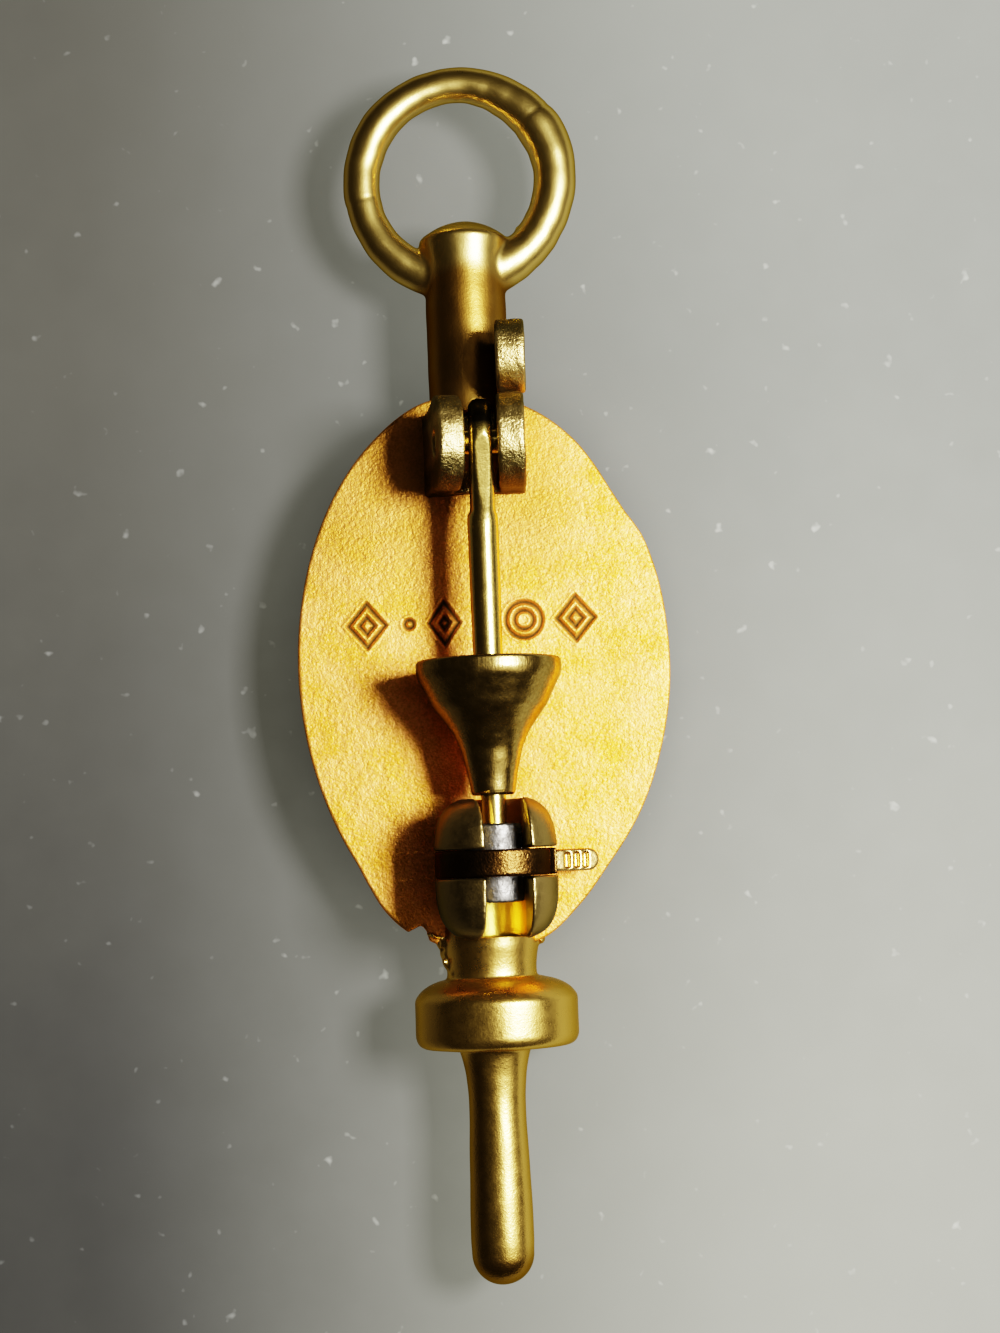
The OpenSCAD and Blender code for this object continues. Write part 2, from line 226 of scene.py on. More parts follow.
@dataclass(frozen=True)
class Workbench:
    """Turns fields, lathe rows and grids into smooth meshes."""

    relax_share: float = 0.5
    relax_rounds: int = 3
    hollow_reach: float = 0.3
    worn_reach: float = 0.14

    def cast(
        self,
        name: str,
        shape: Callable[[Space], Grid],
        low: Sequence[float],
        high: Sequence[float],
        cell: float,
    ) -> bpy.types.Object:
        """Casts a piece from its distance field.

        Args:
            name: Name of the piece.
            shape: Gives the field at sample points.
            low: Lowest corner of the block that holds the piece.
            high: Highest corner of that block.
            cell: Size of a mesh cell.

        Returns:
            The new mesh object.
        """
        axes = [np.arange(low[i], high[i] + cell, cell, dtype=np.float32) for i in range(3)]
        space = Space(axes[0][:, None, None], axes[1][None, :, None], axes[2][None, None, :])
        values = np.broadcast_to(shape(space), [len(a) for a in axes])
        band = 3 * cell
        grid = openvdb.FloatGrid(band)
        grid.copyFromArray(np.clip(values, -band, band).astype(np.float32))
        points, quads = grid.convertToQuads(0.0)
        points = points.astype(float) * cell + np.array(low, float)
        points = self.relaxed(points, quads)
        piece = self.mesh(name, points, quads[:, ::-1].tolist())
        out = self.read(piece, "normal")
        for mark, reach in (("hollow", self.hollow_reach), ("worn", -self.worn_reach)):
            away = shape(Space(*(points.T + reach * out))) / reach
            self.mark(piece, mark, np.clip(1 - away, 0, 1))
        return piece

    def mark(self, piece: bpy.types.Object, name: str, values: Grid) -> None:
        """Stores a number from 0 to 1 on each vertex, for the finish to read."""
        stored = piece.data.attributes.new(name, "FLOAT", "POINT")
        stored.data.foreach_set("value", values.astype(np.float32))

    def read(self, piece: bpy.types.Object, name: str) -> Grid:
        """Reads three numbers of every vertex.

        Args:
            piece: The piece.
            name: What to read, such as co for the places or normal.

        Returns:
            One row for each axis.
        """
        flat = np.empty(3 * len(piece.data.vertices))
        piece.data.vertices.foreach_get(name, flat)
        return flat.reshape(-1, 3).T

    def places(self, piece: bpy.types.Object) -> Space:
        """Places of the piece's vertices."""
        return Space(*(self.read(piece, "co") / MM))

    def relaxed(self, points: Grid, quads: Grid) -> Grid:
        """Points moved toward the middle of their neighbours.

        Args:
            points: Vertex places.
            quads: Vertex numbers of each face.

        Returns:
            The moved points.
        """
        ends = np.concatenate([quads[:, [i, (i + 1) % 4]] for i in range(4)])
        count = np.bincount(ends[:, 0], minlength=len(points))[:, None]
        for _ in range(self.relax_rounds):
            total = [np.bincount(ends[:, 0], points[ends[:, 1], k], len(points)) for k in range(3)]
            total = np.stack(total, 1)
            points = points + self.relax_share * (total / np.maximum(count, 1) - points)
        return points

    def turned(self, name: str, rows: Sequence[Row], centre: Row, around: int) -> bpy.types.Object:
        """Turns a closed outline of place along Y and radius about an axis along Y.

        Args:
            name: Name of the piece.
            rows: The outline, in order.
            centre: X and Z of the axis.
            around: Number of faces around.

        Returns:
            The new mesh object.
        """
        turn = np.linspace(0, 2 * math.pi, around, endpoint=False)
        place, radius = np.array(rows).T
        x = centre[0] + radius[:, None] * np.cos(turn)
        z = centre[1] + radius[:, None] * np.sin(turn)
        points = np.stack([x, np.broadcast_to(place[:, None], x.shape), z], -1).reshape(-1, 3)
        i, j = np.meshgrid(np.arange(len(rows)), np.arange(around), indexing="ij")
        i2, j2 = (i + 1) % len(rows), (j + 1) % around
        corners = [i * around + j, i2 * around + j, i2 * around + j2, i * around + j2]
        return self.mesh(name, points, np.stack(corners, -1).reshape(-1, 4).tolist())

    def mesh(self, name: str, points: Grid, faces: list[list[int]]) -> bpy.types.Object:
        """Makes a smooth shaded object from places in millimetres.

        Args:
            name: Name of the piece.
            points: Vertex places.
            faces: Vertex numbers of each face.

        Returns:
            The new mesh object.
        """
        data = bpy.data.meshes.new(name)
        data.from_pydata((points * MM).tolist(), [], faces)
        data.validate()
        data.polygons.foreach_set("use_smooth", [True] * len(data.polygons))
        data.update()
        piece = bpy.data.objects.new(name, data)
        bpy.context.scene.collection.objects.link(piece)
        return piece


# Shader sockets and finishes


class Wire:
    """An output socket or a number that Math nodes can be written on as expressions."""

    def __init__(self, rack: "Rack", source: object) -> None:
        """Keeps the rack that holds the nodes and the socket or number."""
        self.rack = rack
        self.source = source

    def _math(self, operation: str, *others: object) -> "Wire":
        """Adds one Math node on this wire and the others."""
        values = {i: v for i, v in enumerate((self, *others))}
        return self.rack.node("ShaderNodeMath", {"operation": operation}, values)

    def __add__(self, other: object) -> "Wire":
        """Sum."""
        return self._math("ADD", other)

    def __sub__(self, other: object) -> "Wire":
        """Difference."""
        return self._math("SUBTRACT", other)

    def __rsub__(self, other: object) -> "Wire":
        """Reflected difference, such as 1 - mask."""
        return Wire(self.rack, other)._math("SUBTRACT", self)

    def __mul__(self, other: object) -> "Wire":
        """Product."""
        return self._math("MULTIPLY", other)

    __radd__ = __add__
    __rmul__ = __mul__


class Rack:
    """Holds one material's nodes."""

    def __init__(self, name: str) -> None:
        """Makes an empty material with a Principled shader.

        Args:
            name: Name of the material.
        """
        self.material = bpy.data.materials.new(name)
        self.material.use_nodes = True
        self.tree = self.material.node_tree
        self.shader = self.tree.nodes["Principled BSDF"]

    def node(self, kind: str, settings: dict, inputs: dict, output: int | str = 0) -> Wire:
        """Adds a node of any type.

        Args:
            kind: Node type.
            settings: Attributes set first; "stops" sets a ramp's places and colours.
            inputs: Socket name or number to a value or a wire.
            output: Socket that the wire starts from.

        Returns:
            A wire from the node's output.
        """
        made = self.tree.nodes.new(kind)
        for key, value in settings.items():
            if key == "stops":
                ramp = made.color_ramp
                while len(ramp.elements) < len(value):
                    ramp.elements.new(1.0)
                for element, (place, colour) in zip(ramp.elements, value):
                    element.position, element.color = place, colour
            else:
                setattr(made, key, value)
        for key, value in inputs.items():
            self.plug(made.inputs[key], value)
        return Wire(self, made.outputs[output])

    def plug(self, socket: bpy.types.NodeSocket, value: object) -> None:
        """Gives a socket a wire's link or a plain value.

        Args:
            socket: The socket to set.
            value: A wire, a number or a colour.
        """
        if isinstance(value, Wire):
            value = value.source
        if isinstance(value, bpy.types.NodeSocket):
            self.tree.links.new(value, socket)
        else:
            socket.default_value = value

    def places(self, stretch: Sequence[float]) -> Wire:
        """Places on the piece in millimetres, stretched along each axis."""
        inputs = {0: self.node("ShaderNodeTexCoord", {}, {}, "Object"), 1: [s / MM for s in stretch]}
        return self.node("ShaderNodeVectorMath", {"operation": "MULTIPLY"}, inputs)

    def noise(self, places: Wire, scale: float, detail: float, rough: float = 0.5) -> Wire:
        """Cloudy noise from 0 to 1 with scale waves per millimetre."""
        inputs = {"Vector": places, "Scale": scale, "Detail": detail, "Roughness": rough}
        return self.node("ShaderNodeTexNoise", {}, inputs)

    def ramp(self, value: Wire, low: float, high: float, kind: str = "LINEAR") -> Wire:
        """The value spread so that low becomes 0 and high becomes 1."""
        inputs = {"Value": value, "From Min": low, "From Max": high}
        return self.node("ShaderNodeMapRange", {"clamp": True, "interpolation_type": kind}, inputs)

    def mark(self, name: str) -> Wire:
        """A number that the workbench has marked on the piece."""
        return self.node("ShaderNodeAttribute", {"attribute_name": name}, {}, "Fac")

    def blend(self, part: Wire, first: Wire | Triple, second: Wire | Triple) -> Wire:
        """Colour that goes from the first to the second as part goes from 0 to 1."""
        first, second = (c if isinstance(c, Wire) else (*c, 1.0) for c in (first, second))
        return self.node("ShaderNodeMix", {"data_type": "RGBA"}, {0: part, 6: first, 7: second}, 2)


@dataclass(frozen=True)
class Metal:
    """A worked metal surface, tarnished in its hollows and rubbed bright on its edges.

    Colours are what the metal reflects: rim at a flat angle, a darker tone and painted shade where
    marked so, and painted light where marked lit. Waves are counted per millimetre, and grain_depth is in
    millimetres.
    A name that ends in range gives the values that a ramp spreads from 0 to 1.
    """

    name: str
    light: Triple
    deep: Triple
    rough: float
    rough_spread: float
    grain: float
    grain_depth: float
    tarnish: Triple = (0.3, 0.16, 0.03)
    cloud: float = 0.9
    draw_marks: float = 0.0
    pits: float = 0.0
    rim: Triple = (0.75, 0.62, 0.4)
    aged: Triple = (0.34, 0.23, 0.055)
    dark_tone_and_shade_rough: float = 0.07
    bared: Triple = (0.62, 0.39, 0.055)
    worn_range: Row = (0.12, 0.4)
    dull_range: Row = (0.35, 1.15)
    tint_range: Row = (0.37, 0.63)
    patch_range: Row = (0.35, 0.75)
    pit_range: Row = (0.3, 0.62)
    most_worn: float = 0.6
    draw_stretch: Triple = (9, 0.5, 9)

    def material(self) -> bpy.types.Material:
        """Builds the material once, with tint, wear and grain that vary over the piece.

        Returns:
            The material.
        """
        if self.name in bpy.data.materials:
            return bpy.data.materials[self.name]
        rack = Rack(self.name)
        at = rack.places((1, 1, 1))
        cloud = rack.noise(at, self.cloud, 3)
        fine = rack.noise(at, self.grain, 2, 0.6)
        speck = rack.noise(at, self.grain * 2.1, 1)
        aged = rack.mark("aged")
        worn = rack.ramp(rack.mark("worn"), *self.worn_range)
        dull = rack.ramp(rack.mark("hollow") + cloud * 0.3, *self.dull_range)
        tint = rack.ramp(cloud * 0.45 + speck * 0.55, *self.tint_range)
        shader = rack.shader.inputs
        metal = rack.blend(tint, self.light, self.deep)
        # A darker tone and painted shade where the piece is marked so
        metal = rack.blend(aged, metal, self.aged)
        metal = rack.blend(dull, metal, self.tarnish)
        bright = tuple(min(1.0, 1.05 * c) for c in self.light)
        metal = rack.blend(worn * (self.most_worn - aged * self.most_worn), metal, bright)
        # Painted light where the piece is marked lit
        rack.plug(shader["Base Color"], rack.blend(rack.mark("bared"), metal, self.bared))
        patch = rack.ramp(rack.noise(at, 2.4, 4, 0.65), *self.patch_range)
        rough = self.rough + (patch + speck - 1.0) * self.rough_spread + dull * 0.15 - worn * 0.05
        rough = rough + aged * self.dark_tone_and_shade_rough
        rack.plug(shader["Roughness"], rough)
        shader["Metallic"].default_value = 1.0
        shader["Specular Tint"].default_value = (*self.rim, 1.0)
        relief = (fine + speck * 0.5) * (aged * 0.8 + 1.0)
        if self.draw_marks > 0:
            relief = relief + rack.noise(rack.places(self.draw_stretch), 2.2, 2) * self.draw_marks
        if self.pits > 0:
            pits = rack.ramp(rack.noise(at, self.grain * 0.45, 3, 0.7), *self.pit_range)
            relief = relief + pits * self.pits
        bump = {"Height": relief, "Strength": 1.0, "Distance": self.grain_depth * MM}
        rack.plug(shader["Normal"], rack.node("ShaderNodeBump", {}, bump))
        return rack.material


@dataclass(frozen=True)
class Stone:
    """Plain pale honed marble of the table, with painted light glowing from its surface.

    The painted light goes from the first to the second colour across the table, low beside the
    key's tip and high beside its ring, and painted shadows dim it under the key and under its plate.
    """

    name: str = "pale_table"
    light: Triple = (0.026, 0.0255, 0.023)
    deep: Triple = (0.022, 0.0215, 0.02)
    speck: Triple = (0.1, 0.1, 0.095)
    painted_light_low: tuple[Triple, Triple] = ((0.005, 0.004, 0.001), (0.455, 0.455, 0.385))
    painted_light_high: tuple[Triple, Triple] = ((0.055, 0.051, 0.036), (0.335, 0.342, 0.3))
    key_shadow_half: Row = (7.5, 22.0)
    key_shadow_reach: float = 0.9
    key_shadow_light: float = 0.65
    plate_shadow_half: Row = (5.9, 8.7)
    plate_shadow_reach: float = 0.25
    plate_shadow_light: float = 0.5
    plate_shadow_shift: float = 0.3
    cloud_range: Row = (0.35, 0.65)
    speck_range: Row = (0.69, 0.79)
    across_range: Row = (-13.5, 9.0)
    along_range: Row = (-15.0, 10.0)
    speck_painted_light: float = 1.3

    def painted_shadow_oval(self, rack: Rack, across: Wire, along: Wire, half: Row, reach: float) -> Wire:
        """From 0 in the middle of an oval on the table to 1 well outside it.

        Args:
            rack: The material's nodes.
            across: Place across the key.
            along: Place along the key.
            half: Half width and half length of the oval.
            reach: How far out the change reaches, as a share of the oval.

        Returns:
            The change as a wire.
        """
        place = rack.node("ShaderNodeCombineXYZ", {}, {0: across * (1 / half[0]), 1: along * (1 / half[1])})
        out = rack.node("ShaderNodeVectorMath", {"operation": "LENGTH"}, {0: place}, "Value")
        return rack.ramp(out, 1 - reach, 1 + reach, "SMOOTHSTEP")

    def material(self) -> bpy.types.Material:
        """Builds the table's material.

        Returns:
            The material.
        """
        rack = Rack(self.name)
        at = rack.places((1, 1, 1))
        across = rack.node("ShaderNodeSeparateXYZ", {}, {0: at}, 0)
        along = rack.node("ShaderNodeSeparateXYZ", {}, {0: at}, 1)
        cloud = rack.ramp(rack.noise(at, 0.22, 4, 0.6), *self.cloud_range)
        specks = rack.ramp(rack.noise(at, 1.5, 2, 0.5), *self.speck_range)
        shader = rack.shader.inputs
        stone = rack.blend(cloud, self.light, self.deep)
        rack.plug(shader["Base Color"], rack.blend(specks, stone, self.speck))
        rack.plug(shader["Roughness"], 0.74 + rack.noise(at, 0.5, 3) * 0.15)
        # Painted light that falls off across the table
        side = rack.ramp(across + cloud * 0.8, *self.across_range, "SMOOTHSTEP")
        upper = rack.ramp(along, *self.along_range)
        sides = zip(self.painted_light_low, self.painted_light_high)
        painted_light = rack.blend(side, *(rack.blend(upper, low, high) for low, high in sides))
        # Painted shadows under the key and under its plate
        painted_shadow = self.painted_shadow_oval(rack, across, along, self.key_shadow_half, self.key_shadow_reach)
        painted_shadow = painted_shadow * (1 - self.key_shadow_light) + self.key_shadow_light
        plate = self.painted_shadow_oval(rack, across + self.plate_shadow_shift, along, self.plate_shadow_half, self.plate_shadow_reach)
        painted_shadow = painted_shadow * (plate * (1 - self.plate_shadow_light) + self.plate_shadow_light)
        painted_light = rack.blend(painted_shadow, (0.0, 0.0, 0.0), painted_light)
        # The specks glow brighter with the painted light
        bright = tuple(self.speck_painted_light * c for c in self.painted_light_low[1])
        rack.plug(shader["Emission Color"], rack.blend(specks * side * 0.5, painted_light, bright))
        shader["Emission Strength"].default_value = 1.0
        return rack.material


RING_GOLD = Metal(
    "ring_gold", (0.98, 0.7, 0.23), (0.86, 0.58, 0.16), 0.2, 0.03, 9, 0.0025, draw_marks=0.4,
    rim=(0.28, 0.25, 0.15), aged=(0.6, 0.45, 0.14)
)
STEM_GOLD = Metal(
    "stem_gold", (0.98, 0.63, 0.17), (0.76, 0.45, 0.1), 0.2, 0.06, 9, 0.006,
    rim=(0.6, 0.5, 0.28), aged=(0.07, 0.04, 0.016), dark_tone_and_shade_rough=0.0
)
FROSTED_GOLD = Metal(
    "frosted_gold", (0.965, 0.44, 0.115), (0.67, 0.295, 0.025), 0.6, 0.1, 7, 0.018,
    tarnish=(0.1, 0.06, 0.015), pits=0.6, aged=(0.4, 0.19, 0.032), dark_tone_and_shade_rough=0.0
)
CAST_GOLD = Metal(
    "cast_gold", (0.78, 0.54, 0.19), (0.52, 0.35, 0.1), 0.28, 0.16, 12, 0.018,
    tarnish=(0.17, 0.13, 0.045), pits=0.5, rim=(0.45, 0.41, 0.33), aged=(0.36, 0.33, 0.13), dark_tone_and_shade_rough=0.05
)
BELL_GOLD = Metal(
    "bell_gold", (0.56, 0.385, 0.125), (0.38, 0.245, 0.065), 0.25, 0.1, 5, 0.006, draw_marks=0.7,
    rim=(0.2, 0.27, 0.3)
)
CATCH_GOLD = Metal(
    "catch_gold", (0.42, 0.33, 0.14), (0.3, 0.22, 0.08), 0.26, 0.12, 9, 0.008,
    rim=(0.18, 0.24, 0.26), aged=(0.01, 0.007, 0.004), dark_tone_and_shade_rough=0.3
)
LEVER_GOLD = Metal(
    "lever_gold", (0.92, 0.6, 0.2), (0.7, 0.42, 0.1), 0.22, 0.1, 8, 0.009,
    tarnish=(0.06, 0.03, 0.008), rim=(0.5, 0.4, 0.25), aged=(0.34, 0.24, 0.08), dark_tone_and_shade_rough=0.02
)
DRAWN_GOLD = Metal(
    "drawn_gold", (0.95, 0.68, 0.19), (0.8, 0.54, 0.12), 0.15, 0.06, 9, 0.004, draw_marks=0.6,
    tarnish=(0.05, 0.035, 0.015), rim=(0.4, 0.42, 0.3), aged=(0.11, 0.08, 0.035), dark_tone_and_shade_rough=0.05
)
ROTOR_STEEL = Metal(
    "rotor_steel", (0.17, 0.16, 0.145), (0.06, 0.056, 0.05), 0.4, 0.3, 4, 0.025,
    tarnish=(0.03, 0.028, 0.025), rim=(0.4, 0.4, 0.4)
)


def dress(piece: bpy.types.Object, finish: Metal, slot: Slot, body: Body, *nodes: str) -> None:
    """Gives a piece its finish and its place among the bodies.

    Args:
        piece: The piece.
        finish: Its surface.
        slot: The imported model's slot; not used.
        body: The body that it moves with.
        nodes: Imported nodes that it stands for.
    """
    piece.data.materials.append(finish.material())
    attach(piece, body.value)
    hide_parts(*nodes)
    log.info("%s: %d faces on %s", piece.name, len(piece.data.polygons), body.value)


# Sub-assemblies of the key


@dataclass(frozen=True)
class Datum:
    """Places that several sub-assemblies share."""

    axis_z: float = 2.54
    key_x: float = -0.13
    pin_x: float = 0.15
    pivot_y: float = 6.52
    pivot_z: float = 5.5
    plate_z: float = 3.15

    def around_pin(self, space: Space, radius: Grid | float) -> Grid:
        """Distance from a round bar on the pin's line."""
        return disc(space.x, space.z, (self.pin_x, self.pivot_z), radius)

    def around_pivot(self, space: Space, radius: float) -> Grid:
        """Distance from a round bar on the hinge's line."""
        return disc(space.y, space.z, (self.pivot_y, self.pivot_z), radius)


@dataclass(frozen=True)
class Assembly:
    """What every sub-assembly works with: shared places, the bench and its own ripples.

    Each ripple is a depth, a distance from crest to crest and a phase.
    """

    datum: Datum
    bench: Workbench
    ripples: tuple[Triple, ...] = ()

    def worked(self, space: Space, shape: Grid) -> Grid:
        """The shape with the unevenness of a surface worked by hand.

        Args:
            space: Sample points.
            shape: Distance field.

        Returns:
            The field.
        """
        for depth, pitch, turn in self.ripples:
            shape = shape + ripple(space, depth, pitch, turn)
        return shape


@dataclass(frozen=True)
class RingAndStem(Assembly):
    """Hanging ring of round wire, soldered on the flared upper stem."""

    centre: Row = (-0.1, 15.66)
    course: Profile = Profile(
        ((-2, 2.977), (13, 2.962), (28, 2.93), (43, 2.9), (58, 2.883), (73, 2.914), (88, 2.946), (103, 2.962),
         (118, 2.99), (133, 3.04), (148, 3.091), (163, 3.138), (178, 3.198), (193, 3.261), (208, 3.327),
         (223, 3.381), (238, 3.418), (252, 3.4), (268, 3.34), (282, 3.26), (298, 3.214), (308, 3.176),
         (318, 3.119), (328, 3.066), (343, 3.009), (358, 2.977))
    )
    wire: Profile = Profile(
        ((-2, 0.677), (13, 0.718), (28, 0.74), (43, 0.693), (58, 0.646), (73, 0.592), (88, 0.561),
         (118, 0.561), (148, 0.592), (163, 0.6), (178, 0.585), (208, 0.577), (223, 0.592), (238, 0.62),
         (252, 0.66), (268, 0.7), (282, 0.755), (288, 0.756), (298, 0.709), (308, 0.662), (328, 0.662),
         (358, 0.677))
    )
    stem: Profile = Profile(
        ((7.75, 1.27), (11.6, 1.27), (12.5, 1.28), (13.0, 1.33), (13.35, 1.4), (13.6, 1.43), (14.1, 1.43))
    )
    dome: float = 0.6
    dome_reach: float = 1.43
    dome_above: float = 10.0
    end_edge: float = 0.1
    fillet: float = 0.14
    seams: tuple[Triple, ...] = ((194.0, 0.05, 0.018), (37.0, 0.08, 0.02))
    darker_below: float = 12.9
    darker_bow: float = 0.25
    darker_fade: float = 0.7
    nubs: tuple[Triple, ...] = (
        (76, 2.42, 0.09), (84, 2.44, 0.08), (91, 2.46, 0.1), (98, 2.48, 0.07), (313, 2.52, 0.08)
    )
    nub_rise: float = 0.1
    nub_fillet: float = 0.05
    ripples: tuple[Triple, ...] = ((0.012, 1.7, 0.0), (0.006, 0.8, 2.0))
    block: Block = ((-4.1, 7.6, 0.94), (3.9, 19.5, 4.14))
    cell: float = 0.055

    def marks(self, turn: Grid, out: Grid, z: Grid) -> tuple[Grid, Grid]:
        """The nicks of the ring's seams, and the small nubs left inside it.

        Args:
            turn: Angle around the ring in degrees.
            out: Distance from the ring's centre.
            z: Height.

        Returns:
            Depth of the nicks, and the distance field of the nubs.
        """
        nicks, nubs = np.zeros_like(out), np.full_like(out, FAR)
        for place, width, depth in self.seams:
            nicks += depth * np.exp(-((out * np.radians(turn - place) / width) ** 2))
        for place, far, size in self.nubs:
            along = far * np.radians(turn - place)
            rise = z - self.datum.axis_z - self.nub_rise
            nubs = np.minimum(nubs, np.sqrt(along**2 + (out - far) ** 2 + rise**2) - size)
        return nicks, nubs

    def field(self, space: Space) -> Grid:
        """Distance field of ring and stem.

        Args:
            space: Sample points.

        Returns:
            The field.
        """
        dx, dy = space.x - self.centre[0], space.y - self.centre[1]
        out, turn = np.hypot(dx, dy), np.degrees(np.arctan2(dy, dx)) % 360
        turn = np.where(turn > 358, turn - 360, turn)
        ring = np.hypot(out - self.course.at(turn), space.z - self.datum.axis_z) - self.wire.at(turn)
        nicks, nubs = self.marks(turn, out, space.z)
        ring = joined(ring + nicks, nubs, self.nub_fillet)
        centre = (self.datum.key_x, self.datum.axis_z)
        side = disc(space.x, space.z, centre, self.stem.at(space.y))
        bow = self.dome * (disc(space.x, space.z, centre, 0) / self.dome_reach) ** 2
        ends = slab(space.y + np.where(space.y > self.dome_above, bow, 0), *self.stem.ends())
        stem = rounded(side, ends, self.end_edge)
        return self.worked(space, joined(ring, stem, self.fillet))

    def build(self) -> None:
        """Casts and dresses the piece."""
        piece = self.bench.cast("ring_and_stem", self.field, *self.block, self.cell)
        at = self.bench.places(piece)
        # The stem below the saddle is darker and rougher than the ring
        down = self.darker_below - at.y - self.darker_bow * (at.x - self.datum.key_x) ** 2
        self.bench.mark(piece, "aged", eased(down, 0, self.darker_fade))
        dress(piece, RING_GOLD, Slot.GOLD, Body.KEY, "key_body")


@dataclass(frozen=True)
class Ornament:
    """One plain engraved outline: a lozenge, or an oval if it is round."""

    x: float
    wide: float
    high: float
    round: bool = False

    def distance(self, x: Grid, y: Grid) -> Grid:
        """Distance from the outline.

        Args:
            x: Places across the plate.
            y: Places along the plate, from the middle of the row.

        Returns:
            The distances, below 0 inside the outline.
        """
        a, b = self.wide / 2, self.high / 2
        u, v = np.abs(x - self.x) / a, np.abs(y) / b
        if not self.round:
            return (u + v - 1) * a * b / math.hypot(a, b)
        size = np.maximum(np.hypot(u, v), TINY)
        return (size - 1) * size / np.maximum(np.hypot(u / a, v / b), TINY)


@dataclass(frozen=True)
class OvalPlate(Assembly):
    """Oval plate with a frosted back, a hand cut edge and the plain stepped face below."""

    half_width: float = 5.82
    half_length: float = 8.6
    centre_y: float = -0.22
    edge: float = 0.09
    cut: Profile = Profile(
        ((0, 1.001), (16, 1.004), (23, 1.001), (27.5, 0.996), (31, 0.984), (36, 0.966), (41, 0.9625),
         (50, 0.974), (56, 0.984), (74, 0.997), (90, 1.002), (108, 1.022), (123, 1.015), (141, 1.012),
         (177, 1.0), (207, 0.992), (223, 0.997), (229, 1.015), (236, 1.041), (241, 1.049),
         (243.8, 1.05), (245.2, 1.03), (247.4, 1.002), (249, 1.01), (250.6, 1.038), (252.4, 1.038),
         (253.8, 1.016), (257, 1.004), (268, 1.004), (284, 1.018), (298, 0.984), (312, 0.96),
         (329, 0.975), (339, 0.983), (360, 1.001))
    )
    rim_turns: tuple[float, ...] = (22.5, 45, 67.5, 90)
    side_rows: tuple[Row, ...] = ((0.0, 2.7), (0.0, 2.3), (0.0, 1.93), (-0.02, 1.87), (-0.08, 1.85))
    face_rows: tuple[Row, ...] = (
        (0.55, 1.85), (0.5, 1.78), (0.5, 1.0), (0.42, 0.925), (0.06, 0.925), (0.0, 0.86),
        (0.0, 0.12), (-0.12, 0.0), (-0.5, 0.0), (-1.5, 0.0), (-3.0, 0.0), (-4.2, 0.0), (-4.57, 0.0),
    )
    face_half: Row = (4.6, 7.2)
    row_y: float = 1.24
    line: float = 0.16
    depth: float = 0.09
    inner_line: float = 0.27
    groove_reach: float = 0.62
    groove_dark: float = 1.1
    lip_height: float = 0.16
    lip_place: float = 0.8
    lip_width: float = 0.04
    painted_shade_along: Row = (0.5, 5.0)
    painted_shade_across: Row = (3.6, 1.6)
    painted_shade: float = 0.6
    ornaments: tuple[Ornament, ...] = (
        Ornament(-3.62, 1.36, 1.6),
        Ornament(-2.3, 0.42, 0.42, True),
        Ornament(-1.2, 1.1, 1.6),
        Ornament(1.3, 1.28, 1.28, True),
        Ornament(2.92, 1.36, 1.6),
    )
    across: int = 290
    along: int = 225
    samples: int = 4001
    crowding: float = 3.0
    crowd_half: float = 0.12
    wave: float = 0.012

    def departure(self, turn: Grid) -> Grid:
        """The hand cut edge as a share of a true oval, for a turn in degrees."""
        return self.cut.at(np.mod(turn, 360))

    def outline(self, turn: Grid, extra: float) -> Grid:
        """Points of the cut edge.

        Args:
            turn: Turn around the oval, in radians.
            extra: How far outside the edge they lie.

        Returns:
            X and Y of each point.
        """
        k = self.departure(np.degrees(turn))
        x = (k * self.half_width + extra) * np.cos(turn)
        y = self.centre_y + (k * self.half_length + extra) * np.sin(turn)
        return np.stack([x, y], -1)

    def groove(self, x: Grid, y: Grid) -> Grid:
        """Height of the engraved row above the plate: grooves with a thrown-up lip.

        Args:
            x: Places across the plate.
            y: Places along the plate.

        Returns:
            The heights.
        """
        height = np.zeros_like(x)
        for mark in self.ornaments:
            gap = mark.distance(x, y - self.row_y)
            lines = [gap + self.line / 2]
            if mark.wide > 4 * self.inner_line:
                lines.append(gap + self.line / 2 + self.inner_line)
            for away in lines:
                cut = eased(1 - np.abs(away) / (self.groove_reach * self.line), 0, 1)
                lip = np.exp(-(((np.abs(away) - self.lip_place * self.line) / self.lip_width) ** 2))
                height += self.lip_height * self.depth * lip - self.depth * cut
        return height

    def back(self) -> tuple[Grid, Grid]:
        """Grid of the frosted back, with its rows crowded at the engraved row.

        Returns:
            The points, and the numbers of the points around its edge in order.
        """
        v = np.linspace(-1, 1, self.samples)
        middle = (self.row_y - self.centre_y) / self.half_length
        density = 1 + self.crowding * np.exp(-(((v - middle) / self.crowd_half) ** 4))
        total = np.concatenate([[0], np.cumsum(density[1:])])
        v = np.interp(np.linspace(0, total[-1], self.along + 1), total, v)
        u = np.linspace(-1, 1, self.across + 1)
        u, v = np.meshgrid(u, v, indexing="ij")
        dx, dy = u * np.sqrt(1 - v * v / 2), v * np.sqrt(1 - u * u / 2)
        turn, out = np.arctan2(dy, dx), np.minimum(np.hypot(dx, dy), 1)
        rim = self.outline(turn, -self.edge)
        k = 1 + (self.departure(np.degrees(turn)) - 1) * out**2
        inner_x = (k * self.half_width - self.edge) * dx
        inner_y = self.centre_y + (k * self.half_length - self.edge) * dy
        at_rim = out > 1 - TINY / 100
        x, y = np.where(at_rim, rim[..., 0], inner_x), np.where(at_rim, rim[..., 1], inner_y)
        wave = self.wave * (np.sin(1.3 * x + 0.4 * y) + np.sin(0.9 * y - 0.7 * x + 1)) * (1 - out**4)
        z = self.datum.plate_z + wave + self.groove(x, y)
        number = np.arange(x.size).reshape(x.shape)
        loop = [number[:, 0], number[-1, 1:], number[-2::-1, -1], number[0, -2:0:-1]]
        return np.stack([x, y, z], -1), np.concatenate(loop)

